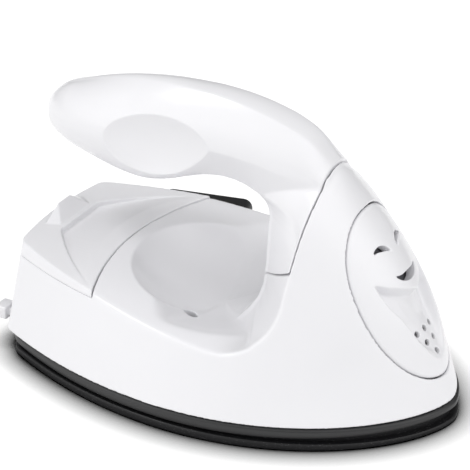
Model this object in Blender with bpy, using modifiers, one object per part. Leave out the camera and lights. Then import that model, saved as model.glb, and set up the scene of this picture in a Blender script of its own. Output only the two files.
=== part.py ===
"""Mini heat press: a palm-sized craft iron, modelled as its separate moulded and fitted pieces.

Units are metres. +X points to the nose, +Y to port and +Z up. The origin lies on the
underside of the sole plate, below its widest part.
"""
import math

import bmesh
import bpy
from mathutils import Matrix, Vector

# General fits
GAP = 0.0003                    # clearance between touching pieces
OVERRUN = 0.004                 # how far a cutter runs past what it cuts
WALL = 0.0021                   # moulded wall of the housing
MERGE = 0.00002                 # distance below which points are one

# Sole plate
NOSE_REACH = 0.0543             # origin to the tip of the sole
HEEL_REACH = 0.0474             # origin to the middle of the heel edge
BEAM_X = -0.0020                # station of the greatest width
SOLE_HALF_WIDTH = 0.0343
HEEL_HALF_WIDTH = 0.0238
HEEL_BOW = 0.0016               # the heel edge bows back by this much
HEEL_CORNER = 0.0030            # reach of the sole's rounded heel corners
SOLE_THICKNESS = 0.0019
SOLE_EDGE_BEVEL = 0.0004
SOLE_NOSE_THINNING = 0.0007     # the plate thins towards the nose
STEP_INSET = 0.0016             # the raised pad stands back from the plate's edge
PAD_HEIGHT = 0.0027             # underside of the sole to the top of its raised pad
SOLE_BOSS_RADIUS = 0.0032
SOLE_BOSS_HEIGHT = 0.0045       # above the pad

# Heat shield
SHIELD_BOTTOM_Z = 0.0025
SHIELD_TOP_Z = 0.0052
SHIELD_NOSE_RISE = 0.0010       # its lower edge rises towards the nose
SHIELD_RIM = 0.0050             # width of the ring
SHIELD_BULGE = 0.0003           # the ring's edge is fuller at mid height

# Housing
HOUSING_BASE_Z = 0.0055
HOUSING_TOP_Z = 0.0562          # crest of the closed hull in front of the seam
ROOF_START_Z = 0.0440           # the roof starts to close here
SEAM_TOP_Z = 0.0546             # the seam with the handle crosses the middle here
NOSE_BASE_X = 0.0537
SEAM_TOP_X = 0.0243             # nose line at the seam
NOSE_BULGE = 0.0037
DRAFT_SLOPE = 0.37              # inward lean of the side walls
NOSE_FULLNESS_BASE = 1.60       # exponent of the nose outline at the base
NOSE_FULLNESS_TOP = 2.25
FULLNESS_RISE = 0.0360          # height over which the fullness changes
HOUSING_HEEL_REACH = 0.0490      # the housing overhangs the sole at the heel
HOUSING_HEEL_CORNER = 0.0018
HEEL_LEAN = 0.0004              # the heel wall leans in by this much at the cover

# Saddle between the deck and the nose tower
SADDLE_RADIUS = 0.0120
SADDLE_CENTRE_X = 0.0104
SADDLE_CENTRE_Z = 0.0311
DECK_SLOPE = 0.13               # the deck rises backwards
COVER_SEAT_Z = 0.0220           # shelf that the rear cover sits on

# Thumb bowl in the deck
BOWL_X = -0.0030
BOWL_BOTTOM_Z = 0.0134
BOWL_RADIUS = 0.0275
BOWL_RIM_BLEND = 0.0003         # height over which the rim at the rear runs into the deck
BOWL_SIDE_BLEND = 0.0100        # the same at the sides
BOWL_FRONT_TURNS = (0.40, 1.00)  # turns from X between which the front's rim softens, in radians
BOWL_REAR_TURNS = (1.57, 2.00)   # turns from X between which the rear's rim sharpens
BOWL_FRONT_X = 0.0164           # the dish ends here on the saddle's arc
BOWL_SIDES = 36

# Neck, shared by the housing's collar and the handle
NECK_REAR_X = 0.0112
NECK_SEAM_REAR_Z = 0.0281       # the joint plane at the neck's rear
NECK_SEAM_FRONT_Z = 0.0364      # the joint plane at the housing seam
NECK_HALF_WIDTH = 0.0080        # at the joint plane
NECK_TOP_Z = 0.0450
NECK_FOLD_Z = 0.0518            # the neck's sides meet the grip's underside here at the seam
NECK_FOOT_Z = 0.0120
NECK_CORNER = 0.0022            # rounding of the rear corners

# Handle grip
GRIP_REAR_X = -0.0479
GRIP_BASE_Z = 0.0417            # lowest point of the grip
GRIP_HEIGHT = 0.0242            # lowest point to the crest
GRIP_HALF_WIDTH = 0.0104
SCOOP_X = -0.0130               # middle of the thumb scoops
SCOOP_Z = 0.0538
SCOOP_HALF_LENGTH = 0.0158
SCOOP_HALF_HEIGHT = 0.0102
SCOOP_DEPTH = 0.0036
SCOOP_TILT = 0.10               # turn of the scoops about Y, in radians

# Rear cover
COVER_ARC_X = -0.0275           # front edge at the middle
COVER_CORNER_X = -0.0222        # front edge at the side
COVER_CORNER_Y = 0.0249
COVER_WING_Z = 0.0252           # top of the wings at the heel
COVER_FRONT_Z = 0.0236          # top at the front corners
COVER_MIDDLE_Z = 0.0246         # top of the front edge at the middle
COVER_SUNK_Z = 0.0236           # the middle panel, where it meets the tail block
COVER_TAIL_Z = 0.0282           # top of the tail block
COVER_TAIL_X = -0.0463
COVER_TAIL_HALF_WIDTH = 0.0022
COVER_TAIL_FOOT_X = -0.0417     # front of the tail block
COVER_TAIL_FOOT = 0.0077        # half width of the tail block at its foot

# Face plate
FACE_X = 0.0412                 # middle of the oval
FACE_Z = 0.0288
FACE_LEAN = 0.535               # backward lean of the oval, in radians
FACE_HALF_HEIGHT = 0.0200
FACE_HALF_WIDTH = 0.0129
FACE_THICKNESS = 0.0014
FACE_CROWN = 0.0012             # the plate's middle stands this far off the hull's form
FACE_RIM = 0.0003               # rounding of the plate's edge
FACE_GROOVE = 0.00035           # gap round the plate
FACE_LEDGE = 0.0016             # width of the housing's ledge behind the plate
FACE_LEDGE_THICKNESS = 0.0016
FACE_REACH = 0.0090             # depth of the window behind the plate's plane
FACE_TOP_FULLNESS = 2.4

# Features of the face plate, measured on its plane
EYE_OFFSET = 0.0041
EYE_HEIGHT = 0.0095
EYE_RADIUS = 0.0027
EYE_THICKNESS = 0.0013
SMILE_HEIGHT = 0.0072
SMILE_RADIUS = 0.0048
SMILE_THICKNESS = 0.0021
INSERT_HALF_WIDTH = 0.0068
INSERT_BOTTOM = 0.0015
INSERT_TOP = 0.0132
INSERT_THICKNESS = 0.0009
BIB_DEPTH = 0.0029              # depth of the recess
BIB_FOOT_HEIGHT = -0.0185       # the recess runs out to nothing here
BIB_KNEE_HEIGHT = -0.0060       # its floor starts to rise here
BIB_WALL = 0.0010               # thickness of the plate behind the recess
VENT_RADIUS = 0.0007
VENT_PITCH = 0.0030
VENT_TOP_HEIGHT = -0.0091
VENT_ROW = 0.0028
VENT_FACES = 8

# Mains inlet at the port quarter
INLET_X = -0.0250
INLET_Y = 0.0304                # outer face at the inlet's middle
INLET_TURN = 0.225              # turn of the outer face from X, in radians
INLET_LENGTH = 0.0222
INLET_TOP_Z = 0.0213
INLET_BOTTOM_Z = HOUSING_BASE_Z + GAP
INLET_DEPTH = 0.0110
INLET_FLANGE_DEPTH = 0.0066     # depth of the full-size outer part
INLET_STEP = 0.0024             # the inner part stands back by this much
INLET_CORNER = 0.0022
SOCKET_WIDTH = 0.0130
SOCKET_HEIGHT = 0.0074
SOCKET_DEPTH = 0.0095
SOCKET_CORNER = 0.0018
PIN_RADIUS = 0.0009
PIN_SPREAD = 0.0060
PIN_REACH = 0.0060              # length that stands in the socket
PIN_TAIL = 0.0030               # length behind the housing

# Selector at the starboard heel
SELECTOR_Y = -0.0190            # knob at rest
SELECTOR_TRAVEL = 0.0080        # towards port
SELECTOR_Z = 0.0070
SELECTOR_WIDTH = 0.0040
SELECTOR_HEIGHT = 0.0032
SELECTOR_REACH = 0.0523         # origin to the knob's outer face
SELECTOR_STEM_WIDTH = 0.0014
SELECTOR_STEM_HEIGHT = 0.0016
SELECTOR_BEVEL = 0.0005
SWITCH_X = -0.0436              # face towards the heel
SWITCH_DEPTH = 0.0040
SWITCH_HEIGHT = 0.0036
SWITCH_WALL = 0.0006

# Heater, thermostat and wiring under the housing
HEATER_TUBE_RADIUS = 0.0020
HEATER_NOSE_X = 0.0300
HEATER_HALF_WIDTH = 0.0140
HEATER_REAR_X = -0.0210
HEATER_END_Z = 0.0090
CLAMP_FRONT_X = 0.0040
CLAMP_PITCH = 0.0160
CLAMP_LENGTH = 0.0060
CLAMP_THICKNESS = 0.0008
CLAMP_HALF_WIDTH = 0.0185
THERMOSTAT_X = 0.0140
THERMOSTAT_RADIUS = 0.0050
THERMOSTAT_CAP_RADIUS = 0.0036
THERMOSTAT_HEIGHT = 0.0040
FUSE_X = -0.0290
FUSE_RADIUS = 0.0016
FUSE_LENGTH = 0.0110
SHEET_REAR_X = -0.0180
SHEET_FRONT_X = 0.0260
SHEET_HALF_WIDTH = 0.0188
SHEET_CORNER = 0.0040
SHEET_THICKNESS = 0.0005
BOARD_X = -0.0268
BOARD_Z = 0.0135
BOARD_LENGTH = 0.0126
BOARD_WIDTH = 0.0230
BOARD_CORNER = 0.0010
BOARD_THICKNESS = 0.0012
BOARD_POST_X = -0.0308
BOARD_POST_Y = 0.0092
BOARD_POST_RADIUS = 0.0024
RELAY_LENGTH = 0.0042
RELAY_WIDTH = 0.0070
RELAY_HEIGHT = 0.0036
RESISTOR_LENGTH = 0.0050
RESISTOR_RADIUS = 0.0009
RESISTOR_PITCH = 0.0026
LAMP_X = -0.0047
LAMP_Y = -0.0123
LAMP_Z = 0.0148                 # top of the dome, sunk in its hole
LAMP_RADIUS = 0.0012
LAMP_BASE_Z = 0.0116
LAMP_LEAD_Y = -0.0070           # middle of the leads at the board
WIRE_RADIUS = 0.0006
LEAD_RADIUS = 0.0003
MAINS_END_X = -0.0254            # between the ends of the mains wires on the board
WIRE_RISE = 0.0018
MAINS_RISE = 0.0048              # the mains wires pass over the heater's

# Screws and the posts that take them
SCREW_RADIUS = 0.0013
SCREW_HEAD_RADIUS = 0.0024
SCREW_HEAD_HEIGHT = 0.0015
SCREW_DRIVE = 0.0009
SCREW_CLEARANCE = 0.0003
SCREW_SEAT_Z = 0.0102           # seat of the two sole screws
SOLE_SCREW_REACH = 0.0065
POST_RADIUS = 0.0040
BRIDGE_LENGTH = 0.0050
BRIDGE_HALF_WIDTH = 0.0192
REAR_SCREW_X = -0.0380
FRONT_SCREW_X = 0.0365
HANDLE_SCREW_Y = 0.0060
HANDLE_SCREW_Z = 0.0410
HANDLE_SCREW_REACH = 0.0085
COVER_SCREW_X = -0.0370
COVER_SCREW_Y = 0.0140
COVER_SCREW_REACH = 0.0042
BOARD_SCREW_REACH = 0.0036
SMALL_SCREW_RADIUS = 0.0010
SMALL_SCREW_HEAD_RADIUS = 0.0019

PORT_STARBOARD = ("port", "starboard")
ROUND_FACES = 24
SMALL_FACES = 12

# Grip stations: (length, top, bottom, width, crease height, top strip, under edge) as shares
GRIP_SHARES = (
    (0.000, 0.445, 0.390, 0.10, 0.415, 0.10, 0.10),
    (0.008, 0.525, 0.320, 0.27, 0.415, 0.14, 0.16),
    (0.028, 0.620, 0.262, 0.44, 0.420, 0.12, 0.25),
    (0.066, 0.708, 0.222, 0.62, 0.430, 0.10, 0.34),
    (0.120, 0.772, 0.176, 0.79, 0.432, 0.08, 0.42),
    (0.187, 0.842, 0.132, 0.91, 0.436, 0.11, 0.48),
    (0.255, 0.900, 0.088, 0.98, 0.440, 0.13, 0.52),
    (0.322, 0.944, 0.046, 1.00, 0.445, 0.15, 0.54),
    (0.390, 0.975, 0.030, 0.99, 0.465, 0.18, 0.55),
    (0.457, 0.994, 0.062, 0.96, 0.495, 0.21, 0.54),
    (0.525, 1.000, 0.138, 0.91, 0.530, 0.24, 0.53),
    (0.592, 1.000, 0.205, 0.86, 0.550, 0.27, 0.52),
    (0.660, 0.988, 0.240, 0.82, 0.552, 0.29, 0.53),
    (0.727, 0.961, 0.225, 0.80, 0.540, 0.31, 0.55),
    (0.795, 0.917, 0.190, 0.79, 0.520, 0.32, 0.60),
    (0.862, 0.855, 0.200, 0.77, 0.480, 0.32, 0.64),
    (0.930, 0.752, 0.240, 0.70, 0.440, 0.29, 0.64),
    (1.000, 0.560, 0.300, 0.60, 0.405, 0.20, 0.56),
)

# Along the grip, where the crest's edges and the flat lower flanks begin and are full, as shares
CREST_SHARES = (0.10, 0.35)
FLANK_SHARES = (0.52, 0.64)
CREST_TURN = 0.45               # turn of the flank where it leaves the crest, in radians

# Neck stations: (height, rear reach, half width) as shares of the named neck sizes
NECK_SHARES = (
    (1.30, 0.30, 0.72),
    (1.04, 0.30, 0.75),
    (1.00, 0.13, 0.75),
    (0.96, 0.04, 0.77),
    (0.91, 0.00, 0.79),
    (0.75, 0.00, 0.88),
    (0.55, 0.00, 1.00),
    (0.42, 0.04, 1.04),
    (0.32, 0.14, 1.10),
    (0.22, 0.34, 1.16),
    (0.12, 0.62, 1.10),
    (0.00, 0.95, 0.90),
)
NECK_FLARE = 0.0100             # how far the collar's foot runs back

# Rings of the face plate, from the rim inwards, as shares of the oval
FACE_RING_SHARES = (1.0, 0.90, 0.74, 0.54, 0.32, 0.10)

# Rings of the thumb bowl from its middle outwards, as shares
BOWL_RING_SHARES = (0.20, 0.40, 0.58, 0.73, 0.86, 0.96)

# Half outline of the recess in the face plate: (across, up) as shares of the oval's half sizes
BIB_SHARES = (
    (0.000, 0.000), (0.287, 0.088), (0.543, 0.196), (0.713, 0.299), (0.705, 0.167), (0.659, -0.010),
    (0.558, -0.181), (0.488, -0.343), (0.403, -0.515), (0.279, -0.686), (0.140, -0.809), (0.000, -0.848),
)
BIB_MIDDLE_SHARE = -0.275

# Rings of the recess from its outline inwards: (size, depth) as shares
BIB_RING_SHARES = ((1.00, 0.0), (0.90, 0.50), (0.76, 1.0), (0.45, 1.0), (0.15, 1.0))

WHITE_PLASTIC = (0.88, 0.88, 0.90)
BLACK_PLASTIC = (0.018, 0.018, 0.020)


def collection(name):
    made = bpy.data.collections.new(name)
    bpy.context.scene.collection.children.link(made)
    return made


def material(name, colour, roughness, metallic=0.0):
    made = bpy.data.materials.new(name)
    made.use_nodes = True
    shader = made.node_tree.nodes["Principled BSDF"]
    shader.inputs["Base Color"].default_value = (*colour, 1.0)
    shader.inputs["Roughness"].default_value = roughness
    shader.inputs["Metallic"].default_value = metallic
    return made


def mesh_object(name, bm, group, finish=None):
    bmesh.ops.recalc_face_normals(bm, faces=bm.faces)
    mesh = bpy.data.meshes.new(name)
    bm.to_mesh(mesh)
    bm.free()
    made = bpy.data.objects.new(name, mesh)
    group.objects.link(made)
    if finish:
        mesh.materials.append(finish)
        mesh.shade_smooth()
        mesh.set_sharp_from_angle(angle=math.radians(32))
    return made


def loft(name, rings, group, finish=None):
    """Skin closed rings of equal point counts and cap both ends."""
    bm = bmesh.new()
    rows = [[bm.verts.new(point) for point in ring] for ring in rings]
    count = len(rows[0])
    for lower, upper in zip(rows, rows[1:]):
        for i in range(count):
            j = (i + 1) % count
            bm.faces.new((lower[i], lower[j], upper[j], upper[i]))
    bm.faces.new(rows[0])
    bm.faces.new(rows[-1])
    bmesh.ops.remove_doubles(bm, verts=bm.verts, dist=MERGE)
    return mesh_object(name, bm, group, finish)


def prism(name, outline, low, high, group, finish=None):
    """Extrude a flat (x, y) outline from one height to another."""
    return loft(name, [[(x, y, z) for x, y in outline] for z in (low, high)], group, finish)


def box(name, low, high, group, finish=None, bevel=0.0):
    bm = bmesh.new()
    bmesh.ops.create_cube(bm, size=1.0)
    centre = (Vector(low) + Vector(high)) / 2
    size = Vector(high) - Vector(low)
    bmesh.ops.transform(bm, matrix=Matrix.Translation(centre) @ Matrix.Diagonal((*size, 1.0)), verts=bm.verts)
    made = mesh_object(name, bm, group, finish)
    if bevel:
        rounded = made.modifiers.new("edges", "BEVEL")
        rounded.width = bevel
        rounded.segments = 2
    return made


def rod(name, radius, start, end, group, finish=None, faces=ROUND_FACES):
    """A cylinder between two points."""
    start, end = Vector(start), Vector(end)
    bm = bmesh.new()
    bmesh.ops.create_cone(bm, cap_ends=True, segments=faces, radius1=radius, radius2=radius,
                          depth=(end - start).length)
    turn = (end - start).to_track_quat("Z", "Y").to_matrix().to_4x4()
    bmesh.ops.transform(bm, matrix=Matrix.Translation((start + end) / 2) @ turn, verts=bm.verts)
    return mesh_object(name, bm, group, finish)


def ball(name, radii, centre, group, turn=0.0, rings=24, segments=40):
    """An ellipsoid cutter, turned about Y."""
    bm = bmesh.new()
    bmesh.ops.create_uvsphere(bm, u_segments=segments, v_segments=rings, radius=1.0)
    place = Matrix.Translation(centre) @ Matrix.Rotation(turn, 4, "Y") @ Matrix.Diagonal((*radii, 1.0))
    bmesh.ops.transform(bm, matrix=place, verts=bm.verts)
    return mesh_object(name, bm, group)


def tube(name, points, radius, group, finish, faces=2):
    """A wire along points, made a closed mesh."""
    curve = bpy.data.curves.new(name, "CURVE")
    curve.dimensions = "3D"
    curve.bevel_depth = radius
    curve.bevel_resolution = faces
    curve.use_fill_caps = True
    spline = curve.splines.new("POLY")
    spline.points.add(len(points) - 1)
    for slot, point in zip(spline.points, points):
        slot.co = (*point, 1.0)
    guide = bpy.data.objects.new(name + "_guide", curve)
    group.objects.link(guide)
    depsgraph = bpy.context.evaluated_depsgraph_get()
    mesh = bpy.data.meshes.new_from_object(guide.evaluated_get(depsgraph))
    bpy.data.objects.remove(guide)
    bm = bmesh.new()
    bm.from_mesh(mesh)
    bmesh.ops.remove_doubles(bm, verts=bm.verts, dist=MERGE)
    bpy.data.meshes.remove(mesh)
    return mesh_object(name, bm, group, finish)


def boolean(target, tool, operation="DIFFERENCE"):
    step = target.modifiers.new(operation.lower() + "_" + tool.name, "BOOLEAN")
    step.operation = operation
    step.solver = "EXACT"
    step.object = tool
    tool.hide_render = True
    tool.display_type = "WIRE"


def joined(name, pieces, group, finish=None):
    """Merge separate solids of one kind into one object, each still its own body."""
    bm = bmesh.new()
    for piece in pieces:
        bm.from_mesh(piece.data)
        bpy.data.objects.remove(piece)
    return mesh_object(name, bm, group, finish)


def finish_with(made, finish):
    made.data.materials.append(finish)
    made.data.shade_smooth()
    made.data.set_sharp_from_angle(angle=math.radians(32))


def as_parts(name, places, pieces, finish):
    """Turn scratch solids into parts, named by their places."""
    for place, piece in zip(places, pieces):
        piece.name = name + "_" + place
        CUTTERS.objects.unlink(piece)
        PARTS.objects.link(piece)
        finish_with(piece, finish)


def turned(name, profile, start, axis, group, finish=None, faces=SMALL_FACES):
    """A turned body: (radius, height) pairs from its start point along its axis."""
    place = Matrix.Translation(start) @ Vector(axis).to_track_quat("Z", "Y").to_matrix().to_4x4()
    rings = []
    for radius, height in profile:
        turns = [2 * math.pi * i / faces for i in range(faces)]
        rings.append([place @ Vector((radius * math.cos(a), radius * math.sin(a), height)) for a in turns])
    return loft(name, rings, group, finish)


def screw(seat, axis, reach, radius, head_radius):
    """A pan-head screw: its head rests just off the seat and its axis points out of the head."""
    foot = Vector(seat) + Vector(axis) * (GAP - reach)
    top = reach + SCREW_HEAD_HEIGHT
    profile = [(radius / 2, 0.0), (radius, radius / 2), (radius, reach), (head_radius, reach),
               (head_radius, reach + SCREW_HEAD_HEIGHT / 2), (head_radius * 0.7, top), (SCREW_DRIVE, top),
               (SCREW_DRIVE * 0.8, reach + SCREW_HEAD_HEIGHT / 3)]
    return turned("screw", profile, foot, axis, CUTTERS)


def wire(start, bend, end, radius, count=8):
    """A wire that leaves one point towards its bend and curves to the other."""
    start, bend, end = Vector(start), Vector(bend), Vector(end)
    points = [start.lerp(bend, i / count).lerp(bend.lerp(end, i / count), i / count) for i in range(count + 1)]
    return tube("wire", points, radius, CUTTERS, None, faces=1)


def arc(centre, radius, start, end, count):
    """Points along an arc in a plane, in degrees."""
    steps = [math.radians(start + (end - start) * i / count) for i in range(count + 1)]
    return [(centre[0] + radius * math.cos(a), centre[1] + radius * math.sin(a)) for a in steps]


def rounded_rectangle(half_width, half_height, radius, count=3):
    points = []
    for sx, sy, start in ((1, 1, 0), (-1, 1, 90), (-1, -1, 180), (1, -1, 270)):
        centre = (sx * (half_width - radius), sy * (half_height - radius))
        points += arc(centre, radius, start, start + 90, count)
    return points


def hull_outline(nose, heel, half_width, heel_half_width, fullness, corner=HEEL_CORNER, side_points=14):
    """Closed outline of a level of the iron, port side first, starting at the nose."""
    port = []
    for i in range(side_points + 1):
        turn = math.pi / 2 * i / side_points
        x = BEAM_X + (nose - BEAM_X) * math.cos(turn)
        port.append((x, half_width * math.sin(turn) ** (2 / fullness)))
    corner_x = -heel + HEEL_BOW
    run = BEAM_X - corner_x
    rear_points = side_points // 2
    flat = run - corner
    for i in range(1, rear_points + 1):
        part = flat * i / rear_points
        port.append((BEAM_X - part, half_width - (half_width - heel_half_width) * (part / run) ** 2))
    start = Vector(port[-1])
    knee = Vector((corner_x, heel_half_width))
    end = Vector((corner_x - HEEL_BOW * corner / heel_half_width, heel_half_width - corner))
    for i in range(1, 4):
        t = i / 3
        port.append(tuple(start * (1 - t) ** 2 + knee * 2 * t * (1 - t) + end * t ** 2))
    for i in (1, 2):
        y = end.y * (1 - i / 2)
        port.append((-heel + (end.x + heel) * (y / end.y) ** 2, y))
    starboard = [(x, -y) for x, y in reversed(port[1:-1])]
    return port + starboard


def nose_line(z):
    """X of the housing's nose at a height."""
    share = (z - HOUSING_BASE_Z) / (SEAM_TOP_Z - HOUSING_BASE_Z)
    straight = NOSE_BASE_X + (SEAM_TOP_X - NOSE_BASE_X) * share
    return straight + NOSE_BULGE * math.sin(math.pi * min(max(share, 0.0), 1.0))


def hull_half_width(z):
    """Greatest half width of the housing at a height."""
    half = SOLE_HALF_WIDTH - DRAFT_SLOPE * (z - HOUSING_BASE_Z)
    if z > ROOF_START_Z:
        half *= math.sqrt(max(0.0, 1 - ((z - ROOF_START_Z) / (HOUSING_TOP_Z - ROOF_START_Z)) ** 2))
    return half


def nose_fullness(z):
    share = min(max((z - HOUSING_BASE_Z) / FULLNESS_RISE, 0.0), 1.0)
    return NOSE_FULLNESS_BASE + (NOSE_FULLNESS_TOP - NOSE_FULLNESS_BASE) * share


def side_at(x, z):
    """Half width of the housing's outer wall at a station and height, forward of the beam."""
    share = (x - BEAM_X) / (nose_line(z) - BEAM_X)
    return hull_half_width(z) * max(0.0, 1 - share ** 2) ** (1 / nose_fullness(z))


def hull(name, levels, group, inset=0.0, finish=None):
    """The housing's outer form between levels, or the same form moved inwards."""
    rings = []
    for z in levels:
        rise = (z - HOUSING_BASE_Z) / (COVER_SEAT_Z - HOUSING_BASE_Z)
        heel = HOUSING_HEEL_REACH - HEEL_LEAN * rise - inset
        heel_half = HEEL_HALF_WIDTH - DRAFT_SLOPE * (z - HOUSING_BASE_Z) - inset
        half = hull_half_width(z) - inset
        outline = hull_outline(nose_line(z) - inset, heel, half, min(heel_half, half), nose_fullness(z),
                               HOUSING_HEEL_CORNER)
        rings.append([(x, y, z) for x, y in outline])
    return loft(name, rings, group, finish)


def between(low, high, count):
    return [low + (high - low) * i / count for i in range(count + 1)]


def seam_x(z):
    """X of the seam between the nose tower and the handle."""
    foot = SADDLE_CENTRE_X + SADDLE_RADIUS
    lean = (SEAM_TOP_X - foot) / (SEAM_TOP_Z - SADDLE_CENTRE_Z)
    return foot + lean * (z - SADDLE_CENTRE_Z)


def deck_z(x):
    """Height of the deck's straight part at a station."""
    turn = math.atan(DECK_SLOPE)
    start_x = SADDLE_CENTRE_X - SADDLE_RADIUS * math.sin(turn)
    start_z = SADDLE_CENTRE_Z - SADDLE_RADIUS * math.cos(turn)
    return start_z + DECK_SLOPE * (start_x - x)


def saddle_z(x, skin=0.0):
    """Height of the deck and of the saddle's arc, or of the same form lower by a skin."""
    turn = math.atan(DECK_SLOPE)
    reach = SADDLE_RADIUS + skin
    start_x = SADDLE_CENTRE_X - reach * math.sin(turn)
    if x < start_x:
        return SADDLE_CENTRE_Z - reach * math.cos(turn) + DECK_SLOPE * (start_x - x)
    return SADDLE_CENTRE_Z - math.sqrt(max(0.0, reach ** 2 - (x - SADDLE_CENTRE_X) ** 2))


def bowl_body(name, skin, group):
    """Cutter for the thumb bowl: a round dish with a rim at the rear that runs out into the deck at the sides."""
    radius = BOWL_RADIUS + skin

    def dish_z(reach):
        return BOWL_BOTTOM_Z + BOWL_RADIUS - math.sqrt(radius ** 2 - reach ** 2)

    def ease(turn, turns):
        share = min(1.0, max(0.0, (turn - turns[0]) / (turns[1] - turns[0])))
        return share * share * (3 - 2 * share)

    spokes = []
    for i in range(BOWL_SIDES):
        turn = 2 * math.pi * i / BOWL_SIDES
        off = min(turn, 2 * math.pi - turn)
        soft = min(ease(off, BOWL_FRONT_TURNS), 1 - ease(off, BOWL_REAR_TURNS))
        blend = BOWL_RIM_BLEND + (BOWL_SIDE_BLEND - BOWL_RIM_BLEND) * soft
        near, far = 0.0, BOWL_RADIUS
        if math.cos(turn) > 0:
            far = min(far, (BOWL_FRONT_X - BOWL_X) / math.cos(turn))
        for _ in range(24):
            middle = (near + far) / 2
            if dish_z(middle) - saddle_z(BOWL_X + middle * math.cos(turn), skin) < blend:
                near = middle
            else:
                far = middle
        spokes.append((turn, blend, near))

    def ring(share, lift=0.0):
        made = []
        for turn, blend, end in spokes:
            reach = end * share
            x, y = BOWL_X + reach * math.cos(turn), reach * math.sin(turn)
            dish, deck = dish_z(reach), saddle_z(x, skin)
            overlap = max(blend - abs(dish - deck), 0.0)
            made.append((x, y, min(dish, deck) - overlap ** 2 / (4 * blend) + lift))
        return made
    return loft(name, [ring(share) for share in BOWL_RING_SHARES] + [ring(1.0, GAP), ring(1.0, OVERRUN)], group)


def across(name, profile, half_width, group):
    """A prism along Y from an (x, z) profile."""
    rings = [[(x, y, z) for x, z in profile] for y in (-half_width, half_width)]
    return loft(name, rings, group)


def cover_front_x(y):
    """X of the joint between the deck and the rear cover."""
    return COVER_ARC_X + (COVER_CORNER_X - COVER_ARC_X) * (y / COVER_CORNER_Y) ** 2


def cover_region(shift, count=12):
    """Outline behind the joint with the deck, port to starboard, running past the heel."""
    half = SOLE_HALF_WIDTH + OVERRUN
    rear = -HOUSING_HEEL_REACH - OVERRUN
    steps = [half * (1 - 2 * i / count) for i in range(count + 1)]
    return [(cover_front_x(y) + shift, y) for y in steps] + [(rear, -half), (rear, half)]


def face_frame():
    """The face plate's plane: X across, Y up the plate, Z outwards."""
    across_axis = Vector((0.0, 1.0, 0.0))
    up = Vector((-math.sin(FACE_LEAN), 0.0, math.cos(FACE_LEAN)))
    out = across_axis.cross(up)
    turn = Matrix((across_axis, up, out)).transposed().to_4x4()
    return Matrix.Translation((FACE_X, 0.0, FACE_Z)) @ turn


def on_face(name, outline, depth, height, group):
    """A prism square to the face plate's plane."""
    made = prism(name, outline, -depth, height, group)
    made.data.transform(face_frame())
    return made


def nose_surface(across_plate, up_plate):
    """Height of the housing's outer form over the face plate's plane."""
    frame = face_frame()
    low, high = -HOUSING_TOP_Z / 2, HOUSING_TOP_Z / 2
    for _ in range(24):
        middle = (low + high) / 2
        x, y, z = frame @ Vector((across_plate, up_plate, middle))
        if x < nose_line(z) and abs(y) < side_at(x, z):
            low = middle
        else:
            high = middle
    return low


def face_oval(margin=0.0, count=40):
    points = []
    for i in range(count):
        turn = 2 * math.pi * i / count
        fullness = FACE_TOP_FULLNESS if math.sin(turn) > 0 else 2.0
        across_share = math.copysign(abs(math.cos(turn)) ** (2 / fullness), math.cos(turn))
        up_share = math.copysign(abs(math.sin(turn)) ** (2 / fullness), math.sin(turn))
        points.append(((FACE_HALF_WIDTH + margin) * across_share, (FACE_HALF_HEIGHT + margin) * up_share))
    return points


def face_body(name, margin, low, high, group, finish=None, crown=0.0, rim=0.0):
    """An oval body between two heights over the housing's outer form, domed by the crown."""
    frame = face_frame()
    outline = face_oval(margin)

    def ring(share, lift, dome):
        return [frame @ Vector((x * share, y * share, nose_surface(x * share, y * share) + lift
                                + dome * (1 - share ** 2))) for x, y in outline]
    under = [ring(share, low, 0.0) for share in reversed(FACE_RING_SHARES)]
    over = [ring(share, high, crown) for share in FACE_RING_SHARES[1:]]
    edge = [ring(FACE_RING_SHARES[0], high - rim, crown)]
    if rim:
        edge.append(ring(1 - rim / FACE_HALF_WIDTH, high, crown))
    return loft(name, under + edge + over, group, finish)


def crescent(centre, radius, thickness, start, end, count=8):
    """A crescent: two arcs through the same tips, the outer fuller than the inner."""
    outer = arc(centre, radius, start, end, count)
    inner = []
    for i, (x, y) in enumerate(reversed(outer[1:-1])):
        share = math.sin(math.pi * (i + 1) / count)
        pull = 1 - thickness * share / radius
        inner.append((centre[0] + (x - centre[0]) * pull, centre[1] + (y - centre[1]) * pull))
    return outer + inner


for old in list(bpy.data.objects):
    bpy.data.objects.remove(old)

PARTS = collection("mini_heat_press")
CUTTERS = collection("cutters")
white = material("white_plastic", WHITE_PLASTIC, 0.32)
black = material("black_plastic", BLACK_PLASTIC, 0.38)
coated = material("coated_aluminium", (0.03, 0.03, 0.032), 0.30)
steel = material("steel", (0.55, 0.55, 0.56), 0.35, 1.0)
brass = material("brass", (0.70, 0.52, 0.24), 0.3, 1.0)
smoke = material("dark_insert", (0.07, 0.07, 0.08), 0.5)
board_green = material("circuit_board", (0.03, 0.20, 0.07), 0.5)
ceramic = material("ceramic", (0.75, 0.72, 0.66), 0.7)
lens = material("clear_lens", (0.85, 0.86, 0.88), 0.1)
red_wire = material("wire_insulation", (0.30, 0.02, 0.02), 0.5)


def forward_share(x):
    """How far a station lies towards the nose, from zero at the beam."""
    return max(0.0, (x - BEAM_X) / (NOSE_REACH - BEAM_X)) ** 2


def sole_outline(inset=0.0):
    return hull_outline(NOSE_REACH - inset, HEEL_REACH - inset, SOLE_HALF_WIDTH - inset,
                        HEEL_HALF_WIDTH - inset, NOSE_FULLNESS_BASE)


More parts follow.
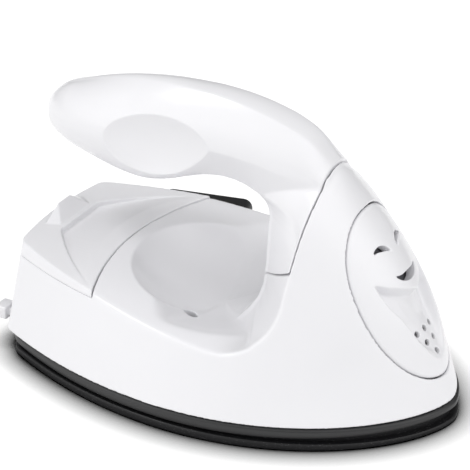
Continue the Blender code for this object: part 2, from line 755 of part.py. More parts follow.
def sole_plate():
    """Pressing plate: a bevelled plate that thins to the nose, a raised pad and two screw bosses."""
    def ring(inset, height, thinning=1.0):
        return [(x, y, height - SOLE_NOSE_THINNING * thinning * forward_share(x))
                for x, y in sole_outline(inset)]
    bevel = SOLE_EDGE_BEVEL
    rings = [
        ring(bevel, 0.0, 0.0),
        ring(0.0, bevel, 0.0),
        ring(0.0, SOLE_THICKNESS - bevel),
        ring(bevel, SOLE_THICKNESS),
        ring(STEP_INSET, SOLE_THICKNESS),
        ring(STEP_INSET, PAD_HEIGHT, 0.0),
    ]
    plate = loft("sole_plate", rings, PARTS, coated)
    for x in (REAR_SCREW_X, FRONT_SCREW_X):
        boss = rod("sole_boss", SOLE_BOSS_RADIUS, (x, 0, SOLE_THICKNESS),
                   (x, 0, PAD_HEIGHT + SOLE_BOSS_HEIGHT), CUTTERS)
        boolean(plate, boss, "UNION")
        bore = rod("sole_bore", SCREW_RADIUS + GAP, (x, 0, PAD_HEIGHT + GAP),
                   (x, 0, PAD_HEIGHT + SOLE_BOSS_HEIGHT + OVERRUN), CUTTERS, faces=SMALL_FACES)
        boolean(plate, bore)
    return plate


def heat_shield():
    """Black ring between the sole and the housing, with its lower edge lifted at the nose."""
    def ring(inset, height, lift):
        return [(x, y, height + SHIELD_NOSE_RISE * lift * forward_share(x)) for x, y in sole_outline(inset)]
    middle = (SHIELD_BOTTOM_Z + SHIELD_TOP_Z) / 2
    outer = [
        ring(STEP_INSET + GAP, PAD_HEIGHT + GAP, 0.0),
        ring(STEP_INSET - GAP, SHIELD_BOTTOM_Z, 1.0),
        ring(SHIELD_BULGE, SHIELD_BOTTOM_Z, 1.0),
        ring(0.0, middle, 0.5),
        ring(SHIELD_BULGE, SHIELD_TOP_Z, 0.0),
    ]
    shield = loft("heat_shield", outer, PARTS, black)
    hole = prism("shield_hole", sole_outline(SHIELD_RIM), -OVERRUN, SHIELD_TOP_Z + OVERRUN, CUTTERS)
    boolean(shield, hole)
    return shield


def neck_ring(z, front_margin, clearance=0.0):
    """Level section of the neck: rounded rear corners, flared to the seam's full width in front."""
    share = (z - NECK_FOOT_Z) / (NECK_TOP_Z - NECK_FOOT_Z)
    below = [row for row in NECK_SHARES if row[0] <= share + 1e-9]
    above = [row for row in NECK_SHARES if row[0] >= share - 1e-9]
    low, high = below[0], above[-1]
    mix = 0.0 if low is high else (share - low[0]) / (high[0] - low[0])
    back_share = low[1] + (high[1] - low[1]) * mix
    width_share = low[2] + (high[2] - low[2]) * mix
    rear = NECK_REAR_X - NECK_FLARE * back_share
    half = NECK_HALF_WIDTH * width_share
    front = seam_x(max(z, SADDLE_CENTRE_Z)) - clearance
    if z < SADDLE_CENTRE_Z:
        drop = min((SADDLE_CENTRE_Z - z) / SADDLE_RADIUS, 0.8)
        front = SADDLE_CENTRE_X + SADDLE_RADIUS * math.sqrt(1 - drop ** 2)
    side = side_at(front, z)
    corner = NECK_CORNER
    rows = [(rear, 0.0), (rear, half - corner), (rear + corner * 0.3, half - corner * 0.3),
            (rear + corner, half)]
    for i in (1, 2, 3):
        rows.append((rear + corner + (front - rear - corner) * i / 3, half + (side - half) * i / 3))
    if front_margin:
        rows.append((front + front_margin, max(side - front_margin, half / 2)))
    starboard = [(x, -y) for x, y in reversed(rows[1:])]
    return [(x, y, z) for x, y in rows + starboard]


def joint_plane(margin):
    """Everything above the tilted joint between the handle's neck and the collar."""
    slope = (NECK_SEAM_FRONT_Z - NECK_SEAM_REAR_Z) / (seam_x(NECK_SEAM_FRONT_Z) - NECK_REAR_X)
    rear_x = NECK_REAR_X - SADDLE_RADIUS
    front_x = seam_x(HOUSING_TOP_Z) + SADDLE_RADIUS
    rear_z = NECK_SEAM_REAR_Z + slope * (rear_x - NECK_REAR_X) + margin
    front_z = NECK_SEAM_REAR_Z + slope * (front_x - NECK_REAR_X) + margin
    top = HOUSING_TOP_Z + SADDLE_RADIUS
    return [(rear_x, rear_z), (front_x, front_z), (front_x, top + front_z), (rear_x, top + front_z)]


def inlet_frame():
    """The mains inlet's outer face: X along it, Y up and Z inwards."""
    along = Vector((math.cos(INLET_TURN), math.sin(INLET_TURN), 0.0))
    up = Vector((0.0, 0.0, 1.0))
    turn = Matrix((along, up, along.cross(up))).transposed().to_4x4()
    return Matrix.Translation((INLET_X, INLET_Y, (INLET_TOP_Z + INLET_BOTTOM_Z) / 2)) @ turn


def at_inlet(name, half_length, half_height, corner, low, high, group, finish=None, drop=0.0):
    """A rounded block between two depths behind the inlet's outer face."""
    outline = [(x, y - drop) for x, y in rounded_rectangle(half_length, half_height, corner)]
    made = prism(name, outline, low, high, group, finish)
    made.data.transform(inlet_frame())
    return made


def inlet_block(name, margin, group, finish=None):
    """The inlet's full-size outer part and its smaller inner part, grown by a margin. A grown one is open below."""
    under = margin
    half_length = INLET_LENGTH / 2 + margin
    half_height = (INLET_TOP_Z - INLET_BOTTOM_Z) / 2 + margin + under
    out = -OVERRUN if margin else 0.0
    block = at_inlet(name, half_length, half_height, INLET_CORNER, out, INLET_FLANGE_DEPTH + margin,
                     group, finish, drop=under)
    inner = at_inlet(name + "_inner", half_length - INLET_STEP / 2, half_height - INLET_STEP / 2,
                     INLET_CORNER, 0.0, INLET_DEPTH + margin, CUTTERS, drop=INLET_STEP / 2 + under)
    boolean(block, inner, "UNION")
    return block


def selector_slot(name, low_x, high_x, margin, group):
    """Room for the selector's stem over its travel."""
    half = SELECTOR_STEM_WIDTH / 2 + margin
    rise = SELECTOR_STEM_HEIGHT / 2 + margin
    return box(name, (low_x, SELECTOR_Y - half, SELECTOR_Z - rise),
               (high_x, SELECTOR_Y + SELECTOR_TRAVEL + half, SELECTOR_Z + rise), group)


def both_sides(make):
    return [make(side) for side in (1, -1)]


def housing_posts(shell):
    """Post, bridge and board posts that take the screws inside the housing."""
    foot = PAD_HEIGHT + SOLE_BOSS_HEIGHT + GAP
    shelf = COVER_SEAT_Z - WALL / 2
    boolean(shell, rod("rear_post", POST_RADIUS, (REAR_SCREW_X, 0, foot), (REAR_SCREW_X, 0, shelf), CUTTERS),
            "UNION")
    bridge = box("bridge", (FRONT_SCREW_X - BRIDGE_LENGTH / 2, -BRIDGE_HALF_WIDTH, foot),
                 (FRONT_SCREW_X + BRIDGE_LENGTH / 2, BRIDGE_HALF_WIDTH, SCREW_SEAT_Z), CUTTERS)
    boolean(shell, bridge, "UNION")
    board_top = BOARD_Z + BOARD_THICKNESS + GAP
    for post in both_sides(lambda side: rod(
            "board_post", BOARD_POST_RADIUS, (BOARD_POST_X, side * BOARD_POST_Y, board_top),
            (BOARD_POST_X, side * BOARD_POST_Y, shelf), CUTTERS, faces=SMALL_FACES)):
        boolean(shell, post, "UNION")


def housing_bores():
    """All the round holes of the housing as one cutter."""
    through = SCREW_RADIUS + SCREW_CLEARANCE
    small = SMALL_SCREW_RADIUS + SCREW_CLEARANCE
    low = HOUSING_BASE_Z - OVERRUN
    high = SCREW_SEAT_Z + OVERRUN
    well = SCREW_HEAD_RADIUS + SCREW_CLEARANCE
    seam = seam_x(HANDLE_SCREW_Z)
    bores = [
        rod("bore", through, (REAR_SCREW_X, 0, low), (REAR_SCREW_X, 0, high), CUTTERS, faces=SMALL_FACES),
        rod("bore", through, (FRONT_SCREW_X, 0, low), (FRONT_SCREW_X, 0, high), CUTTERS, faces=SMALL_FACES),
        rod("bore", LAMP_RADIUS + GAP, (LAMP_X, LAMP_Y, LAMP_BASE_Z - OVERRUN),
            (LAMP_X, LAMP_Y, LAMP_Z + OVERRUN), CUTTERS, faces=SMALL_FACES),
    ]
    bores += both_sides(lambda side: rod(
        "bore", small, (COVER_SCREW_X, side * COVER_SCREW_Y, COVER_SEAT_Z - OVERRUN),
        (COVER_SCREW_X, side * COVER_SCREW_Y, COVER_SEAT_Z + OVERRUN), CUTTERS, faces=SMALL_FACES))
    bores += both_sides(lambda side: rod(
        "bore", through, (seam - OVERRUN, side * HANDLE_SCREW_Y, HANDLE_SCREW_Z),
        (seam + OVERRUN, side * HANDLE_SCREW_Y, HANDLE_SCREW_Z), CUTTERS, faces=SMALL_FACES))
    bores += both_sides(lambda side: rod(
        "bore", small, (BOARD_POST_X, side * BOARD_POST_Y, BOARD_Z),
        (BOARD_POST_X, side * BOARD_POST_Y, BOARD_Z + BOARD_SCREW_REACH), CUTTERS, faces=SMALL_FACES))
    well_rod = rod("screw_well", well, (REAR_SCREW_X, 0, SCREW_SEAT_Z), (REAR_SCREW_X, 0, HOUSING_TOP_Z), CUTTERS)
    return joined("housing_bores", bores, CUTTERS), well_rod


def body_shell():
    """White housing: a drafted hull with the saddle cut out, the thumb bowl sunk in its deck,
    the collar for the handle's neck, the face plate's pocket and a hollow underside."""
    levels = (between(HOUSING_BASE_Z, ROOF_START_Z, 9)
              + between(ROOF_START_Z, HOUSING_TOP_Z - GAP * 4, 5)[1:])
    shell = hull("body_shell", levels, PARTS, finish=white)
    turn = math.degrees(math.atan(DECK_SLOPE))
    rear = -HOUSING_HEEL_REACH - OVERRUN
    top = HOUSING_TOP_Z + OVERRUN
    centre = (SADDLE_CENTRE_X, SADDLE_CENTRE_Z)
    saddle = [(rear, deck_z(rear))]
    saddle += arc(centre, SADDLE_RADIUS, -90 - turn, 0, 10)
    saddle += [(seam_x(top), top), (rear, top)]
    boolean(shell, across("saddle", saddle, SOLE_HALF_WIDTH + OVERRUN, CUTTERS))
    boolean(shell, bowl_body("bowl", 0.0, CUTTERS))
    collar_levels = between(NECK_FOOT_Z, NECK_SEAM_FRONT_Z + WALL, 10)
    collar = loft("collar", [neck_ring(z, WALL) for z in collar_levels], CUTTERS)
    boolean(collar, across("joint_above", joint_plane(0.0), SOLE_HALF_WIDTH, CUTTERS))
    boolean(shell, collar, "UNION")
    boolean(shell, prism("cover_seat", cover_region(GAP), COVER_SEAT_Z, top, CUTTERS))

    inner_levels = [HOUSING_BASE_Z - OVERRUN] + between(HOUSING_BASE_Z, ROOF_START_Z, 6)
    cavity = hull("cavity", inner_levels, CUTTERS, inset=WALL)
    shelf = COVER_SEAT_Z - WALL
    roof = [(rear, shelf), (COVER_ARC_X, shelf)]
    roof += arc(centre, SADDLE_RADIUS + WALL, -90 - turn, 0, 8)
    roof += [(seam_x(top) + WALL, top), (rear, top)]
    boolean(cavity, across("cavity_roof", roof, SOLE_HALF_WIDTH + OVERRUN, CUTTERS))
    boolean(cavity, bowl_body("bowl_skin", WALL, CUTTERS))
    behind = -FACE_THICKNESS - GAP
    boolean(cavity, face_body("face_block", FACE_LEDGE, behind - FACE_LEDGE_THICKNESS, FACE_REACH, CUTTERS))
    boolean(shell, cavity)
    housing_posts(shell)
    for bores in housing_bores():
        boolean(shell, bores)
    boolean(shell, face_body("face_pocket", FACE_GROOVE, behind, FACE_REACH, CUTTERS))
    boolean(shell, on_face("face_window", face_oval(-FACE_LEDGE), FACE_REACH, FACE_REACH, CUTTERS))
    boolean(shell, inlet_block("inlet_cut", GAP, CUTTERS))
    boolean(shell, selector_slot("heel_slot", rear, SWITCH_X, GAP, CUTTERS))
    return shell


def rear_cover():
    """Faceted cover over the heel: two wings, a sunk middle panel and a wedge-shaped tail block."""
    foot = COVER_SEAT_Z + GAP
    top = COVER_TAIL_Z + OVERRUN
    cover = hull("rear_cover", between(foot, top, 3), PARTS, finish=white)
    boolean(cover, prism("cover_edge", cover_region(0.0), foot - OVERRUN, top + OVERRUN, CUTTERS), "INTERSECT")
    rear = -HOUSING_HEEL_REACH - OVERRUN
    front = COVER_CORNER_X + OVERRUN
    slope = (COVER_FRONT_Z - COVER_WING_Z) / (COVER_CORNER_X - COVER_TAIL_X)
    wings = [(x, COVER_WING_Z + slope * (x - COVER_TAIL_X)) for x in (rear, front)]
    wings += [(front, top + OVERRUN), (rear, top + OVERRUN)]
    boolean(cover, across("above_wings", wings, SOLE_HALF_WIDTH, CUTTERS))
    rings = []
    half_count = 4
    for i in range(-half_count, half_count + 1):
        y = COVER_CORNER_Y * i / half_count
        side_share = max(0.0, (abs(y) - COVER_TAIL_FOOT) / (COVER_CORNER_Y - COVER_TAIL_FOOT))
        back = COVER_TAIL_FOOT_X + (cover_front_x(y) - COVER_TAIL_FOOT_X) * side_share
        lip = COVER_MIDDLE_Z + (COVER_FRONT_Z - COVER_MIDDLE_Z) * (y / COVER_CORNER_Y) ** 2
        ahead = cover_front_x(y) + GAP
        rings.append([(back - GAP, y, COVER_SUNK_Z + (lip - COVER_SUNK_Z) * side_share),
                      (ahead, y, lip), (ahead, y, top), (back - GAP, y, top)])
    boolean(cover, loft("sunk_panel", rings, CUTTERS))
    bm = bmesh.new()
    for side in (1, -1):
        for x, y, z in ((COVER_TAIL_X, COVER_TAIL_HALF_WIDTH, COVER_TAIL_Z),
                        (COVER_TAIL_X, COVER_TAIL_FOOT, COVER_WING_Z),
                        (COVER_TAIL_X, COVER_TAIL_FOOT, foot + GAP),
                        (COVER_TAIL_FOOT_X, COVER_TAIL_FOOT, COVER_SUNK_Z),
                        (COVER_TAIL_FOOT_X, COVER_TAIL_FOOT, foot + GAP)):
            bm.verts.new((x, side * y, z))
    bmesh.ops.convex_hull(bm, input=bm.verts)
    boolean(cover, mesh_object("tail_block", bm, CUTTERS), "UNION")
    small = SMALL_SCREW_RADIUS + SCREW_CLEARANCE
    bores = both_sides(lambda side: rod(
        "bore", small, (COVER_SCREW_X, side * COVER_SCREW_Y, foot - OVERRUN),
        (COVER_SCREW_X, side * COVER_SCREW_Y, foot + COVER_SCREW_REACH / 2), CUTTERS, faces=SMALL_FACES))
    boolean(cover, joined("cover_bores", bores, CUTTERS))
    return cover


def bib_body(name, group, drop=0.0):
    """The recess as a solid: soft walls round a floor that rises to nothing at the foot."""
    frame = face_frame()
    middle = FACE_HALF_HEIGHT * BIB_MIDDLE_SHARE
    half = [(FACE_HALF_WIDTH * x, FACE_HALF_HEIGHT * y - middle) for x, y in BIB_SHARES]
    outline = half + [(-x, y) for x, y in reversed(half[1:-1])]
    grown = 1 + drop / FACE_HALF_WIDTH

    def ring(size, depth_share, lift):
        made = []
        for x, y in outline:
            x, y = x * size * grown, middle + y * size * grown
            fall = min(1.0, max(0.0, y - BIB_FOOT_HEIGHT) / (BIB_KNEE_HEIGHT - BIB_FOOT_HEIGHT))
            dome = FACE_CROWN * (1 - (x / FACE_HALF_WIDTH) ** 2 - (y / FACE_HALF_HEIGHT) ** 2)
            height = nose_surface(x, y) + dome - BIB_DEPTH * depth_share * fall - drop + lift
            made.append(frame @ Vector((x, y, height)))
        return made
    floor = [ring(size, depth, 0.0) for size, depth in reversed(BIB_RING_SHARES)]
    roof = [ring(size, 0.0, drop + OVERRUN) for size, _ in BIB_RING_SHARES]
    return loft(name, floor + roof, group)


def bib_pan(name, drop):
    """The plate's material behind the recess, kept clear of the housing's ledge."""
    pan = bib_body(name, CUTTERS, drop)
    boolean(pan, face_body(name + "_limit", -FACE_LEDGE - GAP, -FACE_REACH, -FACE_RIM, CUTTERS), "INTERSECT")
    return pan


def face_plate():
    """Domed oval plate with crescent eyes, a smile, and a recess with its vents."""
    plate = face_body("face_plate", 0.0, -FACE_THICKNESS, 0.0, PARTS, white, FACE_CROWN, FACE_RIM)
    boolean(plate, bib_pan("bib_pan", BIB_WALL), "UNION")
    boolean(plate, bib_body("bib_recess", CUTTERS))
    frame = face_frame()
    vents = []
    for row, count in enumerate((3, 2, 1)):
        for i in range(count):
            x = VENT_PITCH * (i - (count - 1) / 2)
            y = VENT_TOP_HEIGHT - VENT_ROW * row
            vents.append(rod("vent", VENT_RADIUS, frame @ Vector((x, y, -FACE_REACH)),
                             frame @ Vector((x, y, FACE_REACH)), CUTTERS, faces=VENT_FACES))
    boolean(plate, joined("vents", vents, CUTTERS))
    marks = [on_face("smile", crescent((0.0, SMILE_HEIGHT), SMILE_RADIUS, SMILE_THICKNESS, 205, 335),
                     FACE_REACH, FACE_REACH, CUTTERS)]
    for side, start, end in ((1, 32, 185), (-1, -5, 148)):
        outline = crescent((side * EYE_OFFSET, EYE_HEIGHT), EYE_RADIUS, EYE_THICKNESS, start, end)
        marks.append(on_face("eye", outline, FACE_REACH, FACE_REACH, CUTTERS))
    boolean(plate, joined("face_marks", marks, CUTTERS))
    return plate


def face_insert():
    """Dark sheet behind the eyes and the smile."""
    middle = (INSERT_TOP + INSERT_BOTTOM) / 2
    outline = rounded_rectangle(INSERT_HALF_WIDTH, (INSERT_TOP - INSERT_BOTTOM) / 2, INSERT_HALF_WIDTH / 2)
    sheet = on_face("face_insert", [(x, y + middle) for x, y in outline], FACE_REACH, FACE_REACH, PARTS)
    behind = -FACE_THICKNESS - GAP
    limit = face_body("insert_limit", 0.0, behind - INSERT_THICKNESS, behind, CUTTERS)
    boolean(sheet, limit, "INTERSECT")
    boolean(sheet, bib_pan("pan_clearance", BIB_WALL + GAP))
    finish_with(sheet, smoke)
    return sheet


def mains_inlet():
    """Black inlet at the port quarter, with its socket and two contact pins."""
    block = inlet_block("inlet_housing", 0.0, PARTS, black)
    boolean(block, at_inlet("socket", SOCKET_WIDTH / 2, SOCKET_HEIGHT / 2, SOCKET_CORNER, -OVERRUN,
                            SOCKET_DEPTH, CUTTERS))
    frame = inlet_frame()
    outer = SOCKET_DEPTH - PIN_REACH
    inner = INLET_DEPTH + PIN_TAIL
    pins = []
    for side in (1, -1):
        x = side * PIN_SPREAD / 2
        bore = rod("pin_bore", PIN_RADIUS + GAP, frame @ Vector((x, 0, SOCKET_DEPTH - GAP)),
                   frame @ Vector((x, 0, INLET_DEPTH + OVERRUN)), CUTTERS, faces=SMALL_FACES)
        boolean(block, bore)
        tip = PIN_RADIUS / 3
        profile = [(PIN_RADIUS - tip, outer), (PIN_RADIUS, outer + tip), (PIN_RADIUS, inner)]
        inward = frame.to_3x3() @ Vector((0, 0, 1))
        pins.append(turned("pin", profile, frame @ Vector((x, 0, 0)), inward, CUTTERS))
    as_parts("inlet_pin", ("front", "rear"), pins, brass)


def selector():
    """Sliding selector: a knob outside the heel, its stem, and the switch body inside."""
    wall_x = -HOUSING_HEEL_REACH - GAP
    half = Vector(((SELECTOR_REACH + wall_x) / 2, SELECTOR_WIDTH / 2, SELECTOR_HEIGHT / 2))
    centre = Vector((wall_x - half.x, SELECTOR_Y, SELECTOR_Z))
    knob = box("selector_knob", centre - half, centre + half, PARTS, white, SELECTOR_BEVEL)
    stem_half = Vector((0, SELECTOR_STEM_WIDTH / 2, SELECTOR_STEM_HEIGHT / 2))
    stem_start = Vector((centre.x, SELECTOR_Y, SELECTOR_Z)) - stem_half
    stem_end = Vector((SWITCH_X + SWITCH_DEPTH / 2, SELECTOR_Y, SELECTOR_Z)) + stem_half
    boolean(knob, box("stem", stem_start, stem_end, CUTTERS), "UNION")
    knob.data.transform(Matrix.Translation(-centre))
    knob.location = centre
    end = SELECTOR_STEM_WIDTH / 2 + GAP + SWITCH_WALL
    switch = box("selector_switch", (SWITCH_X, SELECTOR_Y - end, SELECTOR_Z - SWITCH_HEIGHT / 2),
                 (SWITCH_X + SWITCH_DEPTH, SELECTOR_Y + SELECTOR_TRAVEL + end, SELECTOR_Z + SWITCH_HEIGHT / 2),
                 PARTS, black)
    boolean(switch, selector_slot("switch_slot", SWITCH_X - OVERRUN, SWITCH_X + SWITCH_DEPTH - SWITCH_WALL * 2,
                                  GAP, CUTTERS))


def heater():
    """Heating element on the sole with its clamps, thermostat, thermal fuse and insulation sheet."""
    seat = PAD_HEIGHT + GAP
    z = seat + HEATER_TUBE_RADIUS
    bend = arc((HEATER_NOSE_X - HEATER_HALF_WIDTH, 0.0), HEATER_HALF_WIDTH, 90, -90, 10)
    ends = [(HEATER_REAR_X, side * HEATER_HALF_WIDTH, HEATER_END_Z) for side in (1, -1)]
    corners = [(HEATER_REAR_X, side * HEATER_HALF_WIDTH, z) for side in (1, -1)]
    route = [ends[0], corners[0]] + [(x, y, z) for x, y in bend] + [corners[1], ends[1]]
    tube("heating_element", route, HEATER_TUBE_RADIUS, PARTS, steel)

    clamp_under = z + HEATER_TUBE_RADIUS + GAP
    clamp_top = clamp_under + CLAMP_THICKNESS
    leg = CLAMP_HALF_WIDTH - CLAMP_THICKNESS
    half = [(leg, clamp_under), (leg, seat), (CLAMP_HALF_WIDTH, seat), (CLAMP_HALF_WIDTH, clamp_top)]
    profile = half + [(-y, height) for y, height in reversed(half)]
    clamps = []
    for x in (CLAMP_FRONT_X, CLAMP_FRONT_X - CLAMP_PITCH):
        ends_x = (x - CLAMP_LENGTH / 2, x + CLAMP_LENGTH / 2)
        clamps.append(loft("clamp", [[(end, y, height) for y, height in profile] for end in ends_x], CUTTERS))
    as_parts("heater_clamp", ("front", "rear"), clamps, steel)

    body = THERMOSTAT_HEIGHT * 0.6
    turned("thermostat", [(THERMOSTAT_RADIUS, 0.0), (THERMOSTAT_RADIUS, body), (THERMOSTAT_CAP_RADIUS, body),
                          (THERMOSTAT_CAP_RADIUS, THERMOSTAT_HEIGHT)],
           (THERMOSTAT_X, 0, seat), (0, 0, 1), PARTS, ceramic, ROUND_FACES)
    neck = FUSE_RADIUS / 2
    turned("thermal_fuse", [(neck, 0.0), (FUSE_RADIUS, neck), (FUSE_RADIUS, FUSE_LENGTH - neck),
                            (neck, FUSE_LENGTH)],
           (FUSE_X, -FUSE_LENGTH / 2, seat + FUSE_RADIUS), (0, 1, 0), PARTS, ceramic)
    middle = (SHEET_FRONT_X + SHEET_REAR_X) / 2
    sheet = rounded_rectangle((SHEET_FRONT_X - SHEET_REAR_X) / 2, SHEET_HALF_WIDTH, SHEET_CORNER)
    prism("insulation_sheet", [(x + middle, y) for x, y in sheet], clamp_top + GAP,
          clamp_top + GAP + SHEET_THICKNESS, PARTS, ceramic)


def electronics():
    """Circuit board with its relay and resistors, the indicator lamp, and the wiring."""
    outline = rounded_rectangle(BOARD_LENGTH / 2, BOARD_WIDTH / 2, BOARD_CORNER)
    top = BOARD_Z + BOARD_THICKNESS
    board = prism("circuit_board", [(x + BOARD_X, y) for x, y in outline], BOARD_Z, top, PARTS, board_green)
    small = SMALL_SCREW_RADIUS + SCREW_CLEARANCE
    holes = both_sides(lambda side: rod(
        "bore", small, (BOARD_POST_X, side * BOARD_POST_Y, BOARD_Z - OVERRUN),
        (BOARD_POST_X, side * BOARD_POST_Y, top + OVERRUN), CUTTERS, faces=SMALL_FACES))
    boolean(board, joined("board_holes", holes, CUTTERS))
    relay_x = BOARD_POST_X
    box("relay", (relay_x - RELAY_LENGTH / 2, -RELAY_WIDTH / 2, top + GAP),
        (relay_x + RELAY_LENGTH / 2, RELAY_WIDTH / 2, top + GAP + RELAY_HEIGHT), PARTS, black)
    resistor_z = BOARD_Z - GAP - RESISTOR_RADIUS
    pieces = []
    for i in (1, -1):
        start = (BOARD_X - RESISTOR_LENGTH / 2, RESISTOR_PITCH * i, resistor_z)
        neck = RESISTOR_RADIUS / 2
        pieces.append(turned("resistor", [(neck, 0.0), (RESISTOR_RADIUS, neck),
                                          (RESISTOR_RADIUS, RESISTOR_LENGTH - neck), (neck, RESISTOR_LENGTH)],
                             start, (1, 0, 0), CUTTERS, faces=VENT_FACES))
    as_parts("resistor", PORT_STARBOARD, pieces, ceramic)

    height = LAMP_Z - LAMP_BASE_Z
    dome = LAMP_RADIUS * 0.8
    turned("indicator_lamp", [(LAMP_RADIUS, 0.0), (LAMP_RADIUS, height - dome),
                              (LAMP_RADIUS * 0.87, height - dome / 2), (LAMP_RADIUS * 0.5, height - dome / 8),
                              (LAMP_RADIUS * 0.15, height)],
           (LAMP_X, LAMP_Y, LAMP_BASE_Z), (0, 0, 1), PARTS, lens, ROUND_FACES)

    frame = inlet_frame()
    wire_z = top + GAP + WIRE_RADIUS
    board_edge = BOARD_WIDTH / 2
    mains = []
    for side in (1, -1):
        tail = frame @ Vector((side * PIN_SPREAD / 2, 0, INLET_DEPTH + PIN_TAIL + GAP + WIRE_RADIUS))
        inside = (MAINS_END_X + side * WIRE_RADIUS * 1.4, board_edge - BOARD_POST_RADIUS, wire_z)
        mains.append(wire(tail, (tail.x, tail.y, wire_z + MAINS_RISE), inside, WIRE_RADIUS))
    as_parts("mains_wire", ("front", "rear"), mains, red_wire)
    heating = []
    for side in (1, -1):
        end = (HEATER_REAR_X, side * HEATER_HALF_WIDTH, HEATER_END_Z + GAP)
        inside = (BOARD_X + BOARD_LENGTH * 0.36, side * (board_edge - BOARD_POST_RADIUS), wire_z)
        heating.append(wire(end, (end[0], end[1], wire_z + WIRE_RISE), inside, WIRE_RADIUS))
    as_parts("heater_wire", PORT_STARBOARD, heating, red_wire)
    leads = []
    for side in (1, -1):
        start = (LAMP_X - LAMP_RADIUS - GAP * 2, LAMP_Y + side * LAMP_RADIUS / 2, LAMP_BASE_Z + LEAD_RADIUS)
        inside = (BOARD_X + BOARD_LENGTH / 2 + GAP + LEAD_RADIUS, LAMP_LEAD_Y + side * LAMP_RADIUS / 2,
                  top - BOARD_THICKNESS / 2)
        leads.append(wire(start, Vector(start).lerp(Vector(inside), 0.5), inside, LEAD_RADIUS, count=2))
    as_parts("lamp_lead", PORT_STARBOARD, leads, black)


def fasteners():
    """Screws: for the sole, the handle, the rear cover and the circuit board."""
    down, up, ahead = (0, 0, -1), (0, 0, 1), (1, 0, 0)
    big = (SCREW_RADIUS, SCREW_HEAD_RADIUS)
    small = (SMALL_SCREW_RADIUS, SMALL_SCREW_HEAD_RADIUS)
    sole = [screw((x, 0, SCREW_SEAT_Z), up, SOLE_SCREW_REACH, *big) for x in (REAR_SCREW_X, FRONT_SCREW_X)]
    as_parts("sole_screw", ("rear", "front"), sole, steel)
    inside = seam_x(HANDLE_SCREW_Z) + WALL
    as_parts("handle_screw", PORT_STARBOARD, both_sides(lambda side: screw(
        (inside, side * HANDLE_SCREW_Y, HANDLE_SCREW_Z), ahead, HANDLE_SCREW_REACH, *big)), steel)
    as_parts("cover_screw", PORT_STARBOARD, both_sides(lambda side: screw(
        (COVER_SCREW_X, side * COVER_SCREW_Y, COVER_SEAT_Z - WALL), down, COVER_SCREW_REACH, *small)), steel)
    as_parts("board_screw", PORT_STARBOARD, both_sides(lambda side: screw(
        (BOARD_POST_X, side * BOARD_POST_Y, BOARD_Z), down, BOARD_SCREW_REACH, *small)), steel)


def ramp(along, shares):
    """From zero at the first share to one at the second."""
    return min(1.0, max(0.0, (along - shares[0]) / (shares[1] - shares[0])))


def handle():
    """Grip and neck in one moulding: lofted grip with a crest strip, creased flanks and thumb scoops."""
    length = SEAM_TOP_X - GRIP_REAR_X
    rings = []
    for along, top, bottom, width, crease, strip, under in GRIP_SHARES:
        x = GRIP_REAR_X + length * along
        half = GRIP_HALF_WIDTH * width
        z_top = GRIP_BASE_Z + GRIP_HEIGHT * top
        z_bottom = GRIP_BASE_Z + GRIP_HEIGHT * bottom
        z_crease = GRIP_BASE_Z + GRIP_HEIGHT * crease
        strip_half = GRIP_HALF_WIDTH * strip
        under_half = min(GRIP_HALF_WIDTH * under, half)
        rise = z_top - z_crease
        fall = z_crease - z_bottom
        lead = CREST_TURN * ramp(along, CREST_SHARES)
        flat = ramp(along, FLANK_SHARES)
        side = [(0.0, z_top), (strip_half, z_top - rise * 0.03)]
        for share in (0.25, 0.5, 0.75):
            turn = lead + (math.pi / 2 - lead) * share
            out = (math.sin(turn) - math.sin(lead)) / (1 - math.sin(lead))
            side.append((strip_half + (half - strip_half) * out,
                         z_crease + rise * 0.97 * math.cos(turn) / math.cos(lead)))
        side.append((half, z_crease))
        for share in (0.35, 0.7):
            out = 1 - math.cos(share * math.pi / 2)
            down = math.sin(share * math.pi / 2)
            side.append((half + (under_half - half) * (out + (share - out) * flat),
                         z_crease - fall * 0.9 * (down + (share - down) * flat)))
        side += [(under_half, z_bottom + fall * 0.10), (under_half * 0.6, z_bottom), (0.0, z_bottom)]
        ring = side + [(-y, z) for y, z in reversed(side[1:-1])]
        rings.append([(x, y, z) for y, z in ring])
    grip = loft("handle", rings, PARTS, white)
    neck_levels = between(NECK_SEAM_REAR_Z - OVERRUN, NECK_TOP_Z, 9) + between(NECK_TOP_Z, NECK_FOLD_Z, 3)[1:]
    neck = loft("neck", [neck_ring(z, 0.0, GAP) for z in neck_levels], CUTTERS)
    boolean(neck, across("joint_below", joint_plane(GAP), SOLE_HALF_WIDTH, CUTTERS), "INTERSECT")
    boolean(grip, neck, "UNION")
    top = HOUSING_TOP_Z + GRIP_HEIGHT
    front = [(seam_x(NECK_SEAM_REAR_Z) - GAP, NECK_SEAM_REAR_Z - OVERRUN), (NOSE_REACH, NECK_SEAM_REAR_Z),
             (NOSE_REACH, top), (seam_x(top) - GAP, top)]
    boolean(grip, across("seam_cut", front, SOLE_HALF_WIDTH, CUTTERS))
    for side in (1, -1):
        centre = (SCOOP_X, side * (GRIP_HALF_WIDTH + SCOOP_HALF_HEIGHT - SCOOP_DEPTH), SCOOP_Z)
        radii = (SCOOP_HALF_LENGTH * 1.25, SCOOP_HALF_HEIGHT, SCOOP_HALF_HEIGHT * 1.50)
        boolean(grip, ball("scoop", radii, centre, CUTTERS, turn=SCOOP_TILT, rings=20, segments=32))
    face = seam_x(HANDLE_SCREW_Z)
    bores = both_sides(lambda side: rod(
        "bore", SCREW_RADIUS + SCREW_CLEARANCE,
        (face - HANDLE_SCREW_REACH, side * HANDLE_SCREW_Y, HANDLE_SCREW_Z),
        (face + OVERRUN, side * HANDLE_SCREW_Y, HANDLE_SCREW_Z), CUTTERS, faces=SMALL_FACES))
    boolean(grip, joined("handle_bores", bores, CUTTERS))
    return grip


